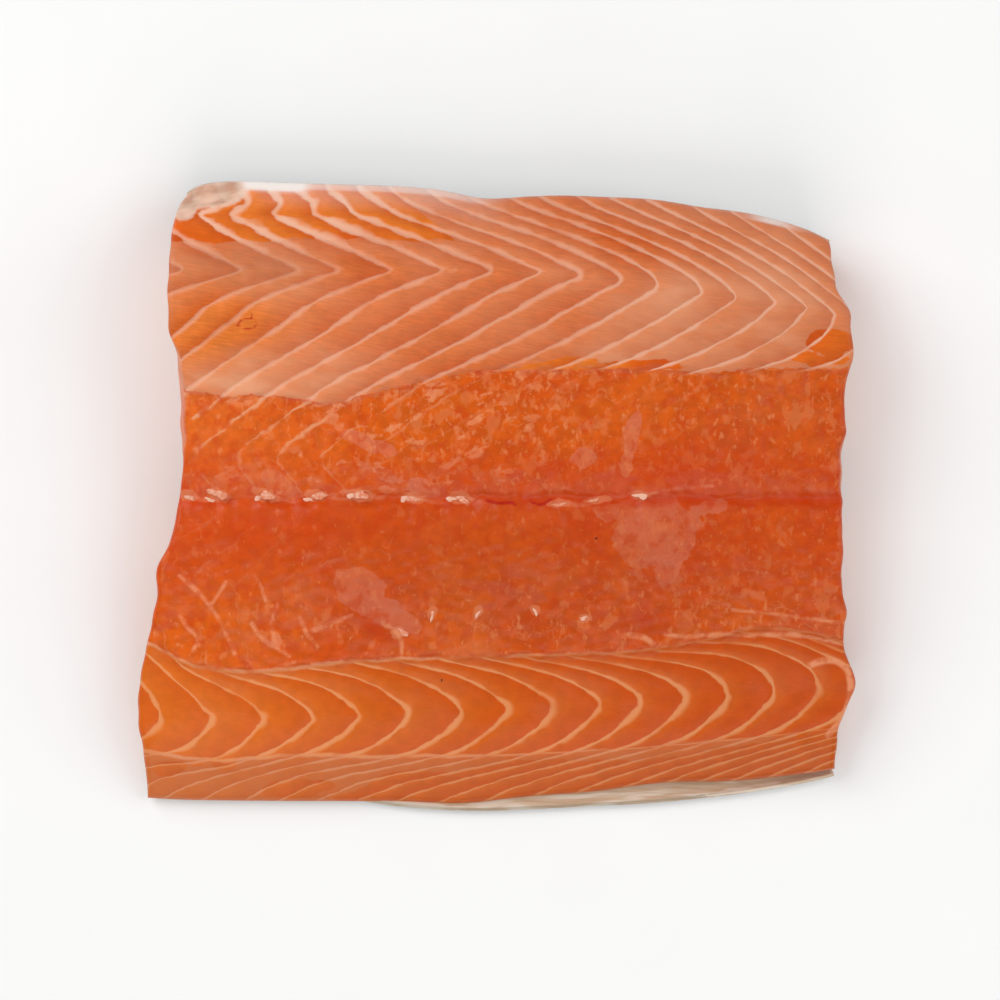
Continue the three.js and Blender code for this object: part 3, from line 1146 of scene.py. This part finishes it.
@dataclass
class Flesh:
    """The cut flesh: a fine grid on top, rings of points down the walls, and a closed bottom.

    Args:
        sunk: how far the wall reaches down into the skin, in mm.
        rim_round: the radius of the top's rim, in mm.
        thinnest: the least height of the walls, in mm.
        fat_high, dark_high: how far over the skin the fat and the brown muscle reach, in mm.
        dark_middle, dark_fall: where the brown muscle is highest, and its fall for each mm beside it.
        map_room: how much wider than the fillet its part of the map is, in mm.
        shrinks: how large each ring of the bottom is.
        yellow, red, dull: soft patches of yellower, redder and darker flesh, each after its strength.
    """

    form: Form = Form()
    seams: Seams = Seams()
    muscle: Muscle = Muscle()
    film: Film = Film()
    relief: Relief = Relief()
    finish: FleshFinish = FleshFinish()
    cells_along: int = 284
    cells_across: int = 248
    wall_rings: int = 12
    sunk: float = 0.45
    rim_round: float = 1.1
    thinnest: float = 0.6
    fat_high: float = 1.5
    dark_high: float = 6.5
    dark_middle: float = 3.0
    dark_fall: float = 0.35
    map_room: float = 4.0
    shrinks: tuple[float, ...] = (0.96, 0.85, 0.6, 0.3)
    yellow: Rows = ((1.5, -68, 40, 17, 9, 16),)
    red: Rows = ((0.4, 36, 8, 15, 9),)
    dull: Rows = ((0.2, -60, 55, 22, 5), (0.15, -2, -19, 62, 19), (0.14, -66, 40, 16, 9, 16))

    def rim(self, u: Array, v: Array) -> Rim:
        """How far the rims of the walls stand in from the outline.

        Args:
            u, v: shares of the way from head to tail and from belly to back.

        Returns:
            The rims: wide at both end cuts below the back, and a lip of skin that widens to the tail.
        """
        y = (v - 0.5) * self.form.width
        x = (u - 0.5) * self.form.length
        head = 0.2 + 2.1 * ease(y, 40, 30) * ease(y, 4, 14)
        tail = 0.2 + 1.3 * ease(y, 22, 16) * ease(y, 0, 6)
        wander = 0.25 * np.sin(x / 5.3) * ease(x, -40, -10)
        lip = 2.7 * ease(x, -52, 26) * (0.1 + 0.9 * ease(x, 84, 44)) + wander
        return Rim(ends=head * (1 - u) + tail * u, back=-0.3, belly=0.3, lip=lip)

    def surface(self, u: Array, v: Array, w: Array | float) -> tuple[Array, dict[str, Array]]:
        """One sheet of points of the flesh.

        Args:
            u, v, w: shares of the way from head to tail, from belly to back, and up the wall.

        Returns:
            The places in mm, one row each, and the numbers that the material reads, by name. The top is
            the relief, rounded down at its rim, and a wall joins it to the floor.
        """
        x, y = self.form.place(u, v, w, self.rim(u, v))
        numbers = self.numbers(x, y)
        on_back = y > self.seams.centre
        number = np.where(on_back, numbers["back_layer"], numbers["belly_layer"])
        pitch = np.where(on_back, numbers["back_pitch"], numbers["belly_pitch"])
        high = self.relief.height(x, y, number, pitch)
        inset = np.minimum(np.minimum(u, 1 - u) * self.form.length, np.minimum(v, 1 - v) * self.form.width)
        short = np.clip(self.rim_round - inset, 0.0, self.rim_round)
        high = high - (self.rim_round - np.sqrt(self.rim_round**2 - short**2))
        low = self.form.floor(y) + self.sunk
        z = low + (np.maximum(high, low + self.thinnest) - low) * w
        depth = np.maximum(high - z, 0.0)
        numbers |= self.layers(x + self.muscle.slant * depth, y)
        above_skin = z - low
        cut = ease(depth, 0.4, 1.6)
        fat = ease(above_skin, self.fat_high, 0.5) * cut
        numbers["cut"] = cut
        numbers["fat"] = fat
        numbers["fringe"] = np.minimum(self.fringe(x, y), 1.0) * (1 - fat)
        dark_top = self.dark_high - np.abs(y - self.dark_middle) * self.dark_fall
        dark = ease(dark_top - above_skin, 0.0, 1.5) * cut
        numbers["dark"] = dark * ease(above_skin, 0.8, 1.4)
        numbers["line_width"] = numbers["line_width"] * (1 - 0.4 * cut)
        numbers["line_strength"] = np.maximum(numbers["line_strength"], 0.6 * cut)
        spread = self.form.spread(high)
        return np.stack([x * spread, y * spread, z], axis=1), numbers

    def fringe(self, x: Array, y: Array) -> Array:
        """How much of the pale fringe shows along the back edge.

        Args:
            x, y: places along and across the fish, in mm.

        Returns:
            The sum of four stretches of the edge: most near the head, a little further on.
        """
        to_back = self.form.back_edge(x) - y
        fringe = 0.9 * ease(to_back, 2.4, 1.2) * ease(x, -62, -59) * ease(x, -43, -50)
        fringe = fringe + 0.4 * ease(to_back, 1.6, 0.6) * ease(x, -64, -58) * ease(x, 4, -12)
        fringe = fringe + 0.8 * ease(to_back, 1.5, 0.8) * hump(x, 66, 5)
        return fringe + 0.16 * ease(to_back, 7, 2) * ease(x, -64, -50) * ease(x, 6, -14)

    def layers(self, x: Array, y: Array) -> dict[str, Array]:
        """The layers at each point, as counted in the back half and in the belly half.

        Args:
            x, y: places along and across the fish, in mm.

        Returns:
            By name: the number of the layer in each half, and how far apart the layers lie, in mm.
        """
        muscle = self.muscle
        numbers = {}
        for half, count in (("back", muscle.back_number), ("belly", muscle.belly_number)):
            numbers[half + "_layer"] = count(x, y)
            numbers[half + "_pitch"] = muscle.pitch(numbers[half + "_layer"], x, y, count)
        return numbers

    def bands(self, x: Array, y: Array) -> Bands:
        """Where each point lies among the bands of the cut.

        Args:
            x, y: places along and across the fish, in mm.

        Returns:
            Its depths inside the bands, and its shares of them, with edges 1 to 2 mm soft.
        """
        seams = self.seams
        in_loin = y - seams.loin_edge(x)
        in_belly = seams.belly_seam(x) - y
        in_edge = seams.lower_seam(x) - y
        loin, belly, edge = ease(in_loin, -0.5, 0.5), ease(in_belly, -0.5, 0.5), ease(in_edge, -1, 1)
        upper = ease(y, seams.centre - 1, seams.centre + 1)
        return Bands(in_loin, in_belly, in_edge, loin, belly, edge, upper)

    def numbers(self, x: Array, y: Array) -> dict[str, Array]:
        """What the material needs to know at each point of the cut.

        Args:
            x, y: places along and across the fish, in mm.

        Returns:
            By name: the layer numbers and their pitch, how far a point lies inside each band, the
            film, the width and strength of the pale layers, and how much is felt of each tint.
        """
        bands = self.bands(x, y)
        middle = self.seams.centre
        centre = hump(y - middle, 0, 1.5) * (0.35 + 0.65 * ease(x, -30, 20))
        head_glow = ease(x, -20, -70) * (0.2 * bands.belly + 0.3 * bands.upper * (1 - bands.loin))
        return self.layers(x, y) | {
            "belly_side": ease(y, middle + 0.3, middle - 0.3),
            "loin": bands.in_loin,
            "belly": bands.in_belly,
            "film": self.film.depth(x, y),
            "line_width": self.line_width(x, y, bands),
            "line_strength": self.line_strength(x, y, bands),
            "torn": self.torn(x, y, bands),
            "edge_band": bands.in_edge / (1 - 0.6 * ease(x, -20, 20)),
            "pale": nearest(PALE_STRANDS_AND_HIGHLIGHTS, x, y),
            "red": nearest(RED_STRANDS, x, y),
            "spot": nearest(DARK_SPOTS, x, y),
            "blush": 0.9 * np.maximum(centre, strongest(STAINS, x, y)),
            "knob": strongest(KNOBS, x, y),
            "sheen_strength": self.film.sheen_strength(x, y),
            "tailward": ease(x, -55, 70) * (1 - 0.8 * bands.edge),
            "fascia": -nearest(FLAP, x, y),
            "glow": self.glow(x, y) + head_glow,
            "warm": 0.36 * ease(y, 15, 4) * ease(y, -34, -10) + felt(x, y, self.red),
            "tone": self.tone(x, y),
        }

    def high_head(self, x: Array, y: Array) -> Array:
        """How much a point lies in the loin's back corner by the head."""
        return ease(x, -15, -40) * ease(y, 56, 62)

    def line_width(self, x: Array, y: Array, bands: Bands) -> Array:
        """How wide the pale layers are: wide in the loin, thin in the rough strip.

        Args:
            x, y: places along and across the fish, in mm.
            bands: how far each point lies inside each band.

        Returns:
            The widths of the bands in mm, blended by the point's share of each.
        """
        level = self.muscle.belly_level(x, y)
        loin = 0.6 + 0.5 * self.high_head(x, y) - 0.22 * ease(x, 10, 70)
        loin = loin + 0.14 * hump(x, -5, 30) * hump(y, 50, 14)
        belly = 0.36 + 0.5 * hump(level, -52.5, 4.5) + 0.16 * ease(level, -52, -60)
        belly = belly * (1 - bands.edge) + 0.27 * bands.edge
        thin = 0.36 + 0.16 * ease(x, -20, -45) * ease(y, 4, 16)
        return thin + (loin - thin) * bands.loin + (belly - thin) * bands.belly

    def line_strength(self, x: Array, y: Array, bands: Bands) -> Array:
        """How clearly the pale layers show: faint in the rough strip.

        Args:
            x, y: places along and across the fish, in mm.
            bands: how far each point lies inside each band.

        Returns:
            The strengths of the bands, blended by the point's share of each.
        """
        faint = bands.upper * (0.06 + 0.3 * ease(x, 10, -25) + 0.4 * ease(x, -25, -50))
        faint = faint * (0.6 + 0.5 * ease(bands.in_loin, -16, -2))
        faint = faint + (1 - bands.upper) * (0.03 + 0.15 * ease(x, -40, -64))
        loin = 0.64 + 0.26 * ease(x, 10, 45) + 0.32 * self.high_head(x, y)
        loin = loin - 0.12 * hump(x, -29, 8) * hump(y, 60, 8)
        belly = 0.9 - 0.15 * bands.edge - 0.55 * hump(bands.in_belly, 1.0, 2.6) * ease(x, -10, 20)
        strength = faint + (loin - faint) * bands.loin + (belly - faint) * bands.belly
        return strength * (1 - 0.45 * hump(y, 54.5, 6.5) * ease(x, -28, -42))

    def torn(self, x: Array, y: Array, bands: Bands) -> Array:
        """How torn the rough strip is.

        Args:
            x, y: places along and across the fish, in mm.
            bands: how far each point lies inside each band.

        Returns:
            From 0 to over 1: most beside the loin, least below the middle near the head.
        """
        above = 0.35 + 0.5 * ease(x, -70, -20) + 0.4 * ease(y, 14, 6) + 0.4 * ease(bands.in_loin, -4, -1)
        above = above - 0.2 * ease(x, 25, 60) + 0.5 * hump(x, -6, 20) * ease(y, 8, 16)
        below = 0.25 + 0.5 * ease(x, -10, 40) + 0.2 * hump(y, -30, 5) * ease(x, -50, -20)
        return bands.upper * above + (1 - bands.upper) * below

    def glow(self, x: Array, y: Array) -> Array:
        """How yellow the flesh is: more in a soft patch at the head cut and along the head's back edge."""
        back = 0.5 * ease(y, 64.5, 71) * ease(x, -5, -35)
        return np.minimum(back + felt(x, y, self.yellow), 1.0) * 0.8

    def tone(self, x: Array, y: Array) -> Array:
        """How light the flesh is.

        Args:
            x, y: places along and across the fish, in mm.

        Returns:
            1, more towards the head, and less to the tail, in the dull patches and at the belly edge.
        """
        along = 0.07 * ease(x, 10, -80) - 0.07 * ease(x, 0, 80)
        low = (0.08 + 0.02 * ease(x, -20, -50)) * ease(self.seams.lower_seam(x) - y, -1, 2)
        stained = sum(stain.share(x, y) for stain in STAINS)
        return 1 + along - felt(x, y, self.dull) - 0.1 * stained - low

    def build(self) -> bpy.types.Object:
        """Builds and dresses the flesh.

        Returns:
            The object. Its top is a grid, each ring of the wall is the grid's border at a lower height,
            and the bottom's rings shrink to one middle point.
        """
        rows = self.cells_along + 1
        columns = self.cells_across + 1
        u, v = (share.ravel() for share in shares(rows, columns))
        border = grid_border(rows, columns)
        falls = np.linspace(1, 0, self.wall_rings + 1)[1:]
        steps = [(fall, 1.0) for fall in falls] + [(0.0, shrink) for shrink in self.shrinks]
        sheets = [self.surface(u, v, 1.0)]
        for fall, shrink in steps:
            ring_u = 0.5 + (u[border] - 0.5) * shrink
            ring_v = 0.5 + (v[border] - 0.5) * shrink
            sheets.append(self.surface(ring_u, ring_v, fall))
        sheets.append(self.surface(np.array([0.5]), np.array([0.5]), 0.0))
        points = np.concatenate([places for places, _ in sheets])
        numbers = {key: np.concatenate([held[key] for _, held in sheets]) for key in sheets[0][1]}

        around = len(border)
        lower = rows * columns + np.arange(len(steps) * around).reshape(-1, around)
        rings = np.concatenate([border[None, :], lower])
        after = np.roll(rings, -1, axis=1)
        ring_quads = np.stack([rings[:-1], rings[1:], after[1:], after[:-1]], axis=-1)
        quads = np.concatenate([grid_quads(rows, columns), ring_quads.reshape(-1, 4)])
        pole = np.full(around, len(points) - 1)
        triangles = np.stack([rings[-1], pole, after[-1]], axis=-1)
        piece = build_mesh("flesh", points, quads, triangles, numbers)
        set_bake_map(piece, self.bake_places(points[: rows * columns], len(steps), around))
        piece.data.materials.append(self.finish.material())
        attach(piece, "root")
        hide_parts("fillet")
        return piece

    def bake_places(self, top: Array, steps: int, around: int) -> Array:
        """Where each corner of a face lies on the OFBake map.

        Args:
            top: the places of the top's points, in mm.
            steps: how many rings follow the top's border.
            around: how many points each ring has.

        Returns:
            The top as seen from above over four fifths of the map, and the rings as one strip below it.
        """
        edge, strip_top, top_low = 0.005, 0.19, 0.2
        spread = np.array([self.form.length, self.form.width]) + self.map_room
        seen = top[:, :2] / spread + 0.5
        seen = np.array([edge, top_low]) + seen * np.array([1 - 2 * edge, 1 - edge - top_low])
        seen = seen[grid_quads(self.cells_along + 1, self.cells_across + 1)].reshape(-1, 2)
        across = np.linspace(edge, 1 - edge, around + 1)
        down = np.linspace(strip_top, edge, steps + 2)
        start, high = np.meshgrid(across[:-1], down[:-2])
        end, low = np.meshgrid(across[1:], down[1:-1])
        strip = np.stack([start, high, start, low, end, low, end, high], axis=-1).reshape(-1, 2)
        fan_high = np.full(around, down[-2])
        fan_low = np.full(around, down[-1])
        fan = [across[:-1], fan_high, (across[:-1] + across[1:]) / 2, fan_low, across[1:], fan_high]
        return np.concatenate([seen, strip, np.stack(fan, axis=-1).reshape(-1, 2)])


@dataclass
class Skin:
    """The skin: one thin closed shell under the flesh, from the belly's lip up to the back edge.

    Args:
        lip_end, wall_start: the shares of the way around where the belly wall ends and the back's starts.
        climb: how much of the back wall it covers.
        past_back, past_ends: how far it stands out past the flesh at the back and at the ends, in mm.
        arch: how strongly the free edge of a scale is curved.
    """

    form: Form = Form()
    finish: SkinFinish = SkinFinish()
    thick: float = 0.9
    rows: int = 190
    columns: int = 200
    scale_long: float = 4.6
    scale_wide: float = 3.9
    scale_high: float = 0.07
    lip_end: float = 0.03
    wall_start: float = 0.94
    climb: float = 0.92
    past_back: float = 0.12
    past_ends: float = 0.25
    arch: float = 1.2

    def outside(self, u: Array, s: Array) -> Array:
        """The outer side.

        Args:
            u, s: shares of the way from head to tail, and around from the belly's lip to the back edge.

        Returns:
            The places in mm. The first part rises along the belly wall, the middle lies on the floor and
            the last part climbs the back wall.
        """
        v = np.clip((s - self.lip_end) / (self.wall_start - self.lip_end), 0.0, 1.0)
        w = self.form.widest * np.clip(1 - s / self.lip_end, 0.0, 1.0)
        w = w + self.climb * np.clip((s - self.wall_start) / (1 - self.wall_start), 0.0, 1.0)
        along = (u - 0.5) * self.form.length
        tucked = 0.8 * ease(along, -20, -40) - 0.5 * ease(along, -45, -15) - 1.2 * ease(along, 5, 45)
        x, y = self.form.place(u, v, w, Rim(back=-0.3, lip=tucked))
        y = y + self.past_back * (v >= 1.0)
        top = self.form.thickness(x, y)
        x = x + (2 * u - 1) * self.past_ends
        low = self.form.floor(y)
        spread = self.form.spread(top)
        return np.stack([x * spread, y * spread, low + (top - low) * w], axis=-1)

    def build(self) -> bpy.types.Object:
        """Builds and dresses the skin.

        Returns:
            The object: the outer side, the same side moved in by the thickness, and faces that join
            their borders.
        """
        u, s = shares(self.rows, self.columns)
        outer = self.outside(u, s)
        normal = np.cross(np.gradient(outer, axis=1), np.gradient(outer, axis=0))
        normal = normal / np.linalg.norm(normal, axis=-1, keepdims=True)
        parts = np.linalg.norm(np.diff(outer, axis=1), axis=-1)
        around = np.pad(np.cumsum(parts, axis=1), ((0, 0), (1, 0)))
        rise = self.scale_rise(outer[..., 0], around)
        lifted = outer + normal * (self.scale_high * rise * ease(outer[..., 2], 0.0, 0.4))[..., None]
        lifted[..., 2] = np.maximum(lifted[..., 2], 0.0)
        inner = outer - normal * self.thick
        points = np.concatenate([lifted.reshape(-1, 3), inner.reshape(-1, 3)])

        count = self.rows * self.columns
        side = grid_quads(self.rows, self.columns)
        border = grid_border(self.rows, self.columns)
        after = np.roll(border, -1)
        rim = np.stack([border, border + count, after + count, after], axis=-1)
        quads = np.concatenate([side[:, ::-1], side + count, rim[:, ::-1]])
        folded = ease(s, 0.985, 1.0) + ease(s, 0.016, 0.006)
        numbers = {
            "around": np.concatenate([around.ravel(), around.ravel()]),
            "scale_rise": np.concatenate([rise.ravel(), np.zeros(count)]),
            "inside": np.concatenate([folded.ravel(), np.ones(count)]),
        }
        piece = build_mesh("skin", points, quads, np.zeros((0, 3), dtype=int), numbers)
        piece.data.materials.append(self.finish.material())
        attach(piece, "root")
        return piece

    def scale_rise(self, along: Array, around: Array) -> Array:
        """How high the scales stand: 1 at the free edge of a scale, 0 at its root.

        Args:
            along, around: lengths along the fish and around the skin, in mm.

        Returns:
            Rows of scales are half a scale out of step. In each cell the height grows towards the tail
            up to a round edge.
        """
        row = np.floor(around / self.scale_wide)
        place = along / self.scale_long + 0.5 * (row % 2)
        across = around / self.scale_wide - row - 0.5
        local = place - np.floor(place) + self.arch * across**2
        return local - np.floor(local)


@dataclass
class BoneEnds:
    """The cut ends of small bones along the middle, and pale tufts where others were pulled out.

    Args:
        lumps: rows of a middle, two half sizes and a turn, in mm and degrees, and how white each is (the
            small, whiter lumps are painted highlights).
        waves: how strongly the outline of a lump waves, and how many times around it.
        height: how high a lump is, as a share of its smaller half size.
        tip_highlight: how much whiter its top is, as a painted highlight.
    """

    flesh: Flesh
    finish: BoneFinish = BoneFinish()
    lumps: Rows = (
        (-73.6, -0.2, 1.8, 0.6, -20, 0.5), (-66.6, 0.6, 2.4, 1.2, -28, 0.35),
        (-68.6, -0.9, 1.1, 0.6, -10, 0.8), (-54.8, 0.5, 2.3, 1.2, -25, 0.35), (-57, -0.5, 1.2, 0.8, 20, 0.8),
        (-42.6, 0.5, 2.4, 1.2, -8, 0.35), (-45, -0.7, 1.1, 0.7, -20, 0.8), (-32.6, 0.4, 2.2, 1.1, 0, 0.35),
        (-34.6, 0.2, 1, 1.1, 0, 0.75), (-20, -0.6, 2.6, 0.9, -5, 0.35), (-22.2, -0.4, 1.1, 0.9, 0, 0.75),
        (-8.6, -0.4, 2, 1.1, -18, 0.4), (-10.8, -0.6, 1.2, 0.8, 0, 0.8), (15.2, -2, 1.6, 0.5, 8, 0.4),
        (23, -1.2, 1.8, 0.45, 8, 0.3), (34.4, 0.2, 1.7, 1, 0, 0.8), (-15.4, -28.3, 0.55, 1.5, -12, 0.5),
        (-4.4, -28.2, 0.4, 1.5, -28, 0.5), (9.2, -27.6, 0.4, 1.3, 22, 0.6), (21, -29.3, 1, 0.55, 15, 0.5),
        (-22.6, -32.6, 1.6, 0.8, -35, 0.4),
    )
    waves: Rows = ((0.26, 2), (0.2, 3), (0.1, 5))
    rings: int = 9
    spokes: int = 16
    height: float = 0.35
    tip_highlight: float = 0.25
    seed: int = 21

    def build(self) -> bpy.types.Object:
        """Builds and dresses the lumps.

        Returns:
            One object of joined lumps: each is a ball drawn out along its length, with a wavy outline,
            half sunk in the flesh.
        """
        turn = np.linspace(0, math.tau, self.spokes, endpoint=False)
        fall = np.linspace(0, math.pi, self.rings + 2)[1:-1]
        spoke, ring = np.meshgrid(turn, fall)
        up = np.append(np.cos(ring), [1.0, -1.0])
        grid = np.arange(self.rings * self.spokes).reshape(self.rings, self.spokes)
        after = np.roll(grid, -1, axis=1)
        top, bottom = (np.full(self.spokes, grid.size + pole) for pole in (0, 1))
        ball_quads = np.stack([grid[:-1], grid[1:], after[1:], after[:-1]], axis=-1).reshape(-1, 4)
        caps = ((top, grid[0], after[0]), (grid[-1], bottom, after[-1]))
        ball_triangles = np.concatenate([np.stack(cap, axis=-1) for cap in caps])
        draws = np.random.default_rng(self.seed)
        points, quads, triangles, whites_and_highlights = [], [], [], []
        for order, (middle_x, middle_y, long, short, angle, white_and_highlight) in enumerate(self.lumps):
            starts = draws.uniform(0, math.tau, 3)
            waves = (out * np.sin(times * spoke + start) for (out, times), start in zip(self.waves, starts))
            wave = 1 + sum(waves)
            side_x = long * np.append(np.cos(spoke) * np.sin(ring) * wave, [0.0, 0.0])
            side_y = short * np.append(np.sin(spoke) * np.sin(ring) * wave, [0.0, 0.0])
            cos, sin = math.cos(math.radians(angle)), math.sin(math.radians(angle))
            x = middle_x + side_x * cos - side_y * sin
            y = middle_y + side_x * sin + side_y * cos
            z = self.resting_height(middle_x, middle_y) + self.height * min(long, short) * up
            points.append(np.stack([x, y, z], axis=1))
            quads.append(order * len(up) + ball_quads)
            triangles.append(order * len(up) + ball_triangles)
            # The top of each lump is whiter: a painted highlight.
            whites_and_highlights.append(white_and_highlight + self.tip_highlight * up)
        parts = (np.concatenate(part) for part in (points, quads, triangles))
        piece = build_mesh("bone_ends", *parts, {"white_and_highlight": np.concatenate(whites_and_highlights)})
        piece.data.materials.append(self.finish.material())
        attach(piece, "root")
        return piece

    def resting_height(self, x: float, y: float) -> float:
        """The height of the flesh at one place, midway between two layers, in mm."""
        x, y, number, pitch = np.array([[x], [y], [0.5], [10.0]])
        return float(self.flesh.relief.height(x, y, number, pitch)[0])


@dataclass
class Studio:
    """A pale floor, soft lights and a camera that looks straight down, in metres and watts."""

    floor_size: float = 3.0
    floor_tints: tuple[Colour, Colour] = ((0.87, 0.87, 0.865), (0.9, 0.9, 0.895))
    lights: tuple[tuple[str, tuple[float, float, float], float], ...] = (
        ("window", (-0.75, 0.55, 0.85), 8.5), ("fill", (0.85, 0.15, 0.75), 4.5),
        ("front", (0.05, -0.95, 0.75), 4.5),
    )
    light_size: float = 0.9
    world_light: float = 0.42
    lens: float = 120.0
    sensor: float = 36.0
    view_width: float = 0.240
    focus_height: float = 0.020
    centre: tuple[float, float] = (0.00084, -0.00096)

    def build(self) -> None:
        """Sets the stage, the lights and the camera."""
        self.add_floor()
        for light in self.lights:
            self.add_light(*light)
        world = bpy.data.worlds.new("studio")
        bpy.context.scene.world = world
        world.use_nodes = True
        background = world.node_tree.nodes["Background"]
        background.inputs["Color"].default_value = (1.0, 1.0, 1.0, 1.0)
        background.inputs["Strength"].default_value = self.world_light
        bpy.context.scene.view_settings.view_transform = "Standard"
        self.add_camera()

    def add_floor(self) -> None:
        """Lays the plain pale floor."""
        half = self.floor_size / 2
        mesh = bpy.data.meshes.new("floor")
        corners = [(-half, -half, 0), (half, -half, 0), (half, half, 0), (-half, half, 0)]
        mesh.from_pydata(corners, [], [(0, 1, 2, 3)])
        floor = bpy.data.objects.new("floor", mesh)
        bpy.context.scene.collection.objects.link(floor)
        tree = Tree("pale_floor")
        grain = tree.noise(30.0)
        colour = tree.mix(grain, *self.floor_tints)
        mesh.materials.append(tree.finish(colour, 0.7 + 0.1 * grain, 0.0 * grain, {"IOR": 1.3}))

    def add_light(self, name: str, place: tuple[float, float, float], power: float) -> None:
        """Hangs one square soft light that faces the fillet.

        Args:
            name: its name.
            place: where it hangs, in metres.
            power: its power, in watts.
        """
        data = bpy.data.lights.new(name, "AREA")
        data.shape = "SQUARE"
        data.size = self.light_size
        data.energy = power
        light = bpy.data.objects.new(name, data)
        light.location = place
        x, y, z = place
        light.rotation_euler = (math.atan2(math.hypot(x, y), z), 0.0, math.atan2(x, -y))
        bpy.context.scene.collection.objects.link(light)

    def add_camera(self) -> None:
        """Hangs the camera straight over the middle, level with the edges of the view."""
        data = bpy.data.cameras.new("camera")
        data.lens = self.lens
        data.sensor_width = self.sensor
        data.clip_start = 0.01
        camera = bpy.data.objects.new("camera", data)
        far = self.view_width * data.lens / data.sensor_width
        camera.location = (*self.centre, self.focus_height + far)
        bpy.context.scene.collection.objects.link(camera)
        bpy.context.scene.camera = camera


def main() -> None:
    """Builds every piece in order and reports each one."""
    logging.basicConfig(level=logging.INFO, format="%(name)s: %(message)s")
    Studio().build()
    flesh = Flesh()
    flesh.build()
    Skin().build()
    BoneEnds(flesh).build()


if __name__ == "__main__":
    main()
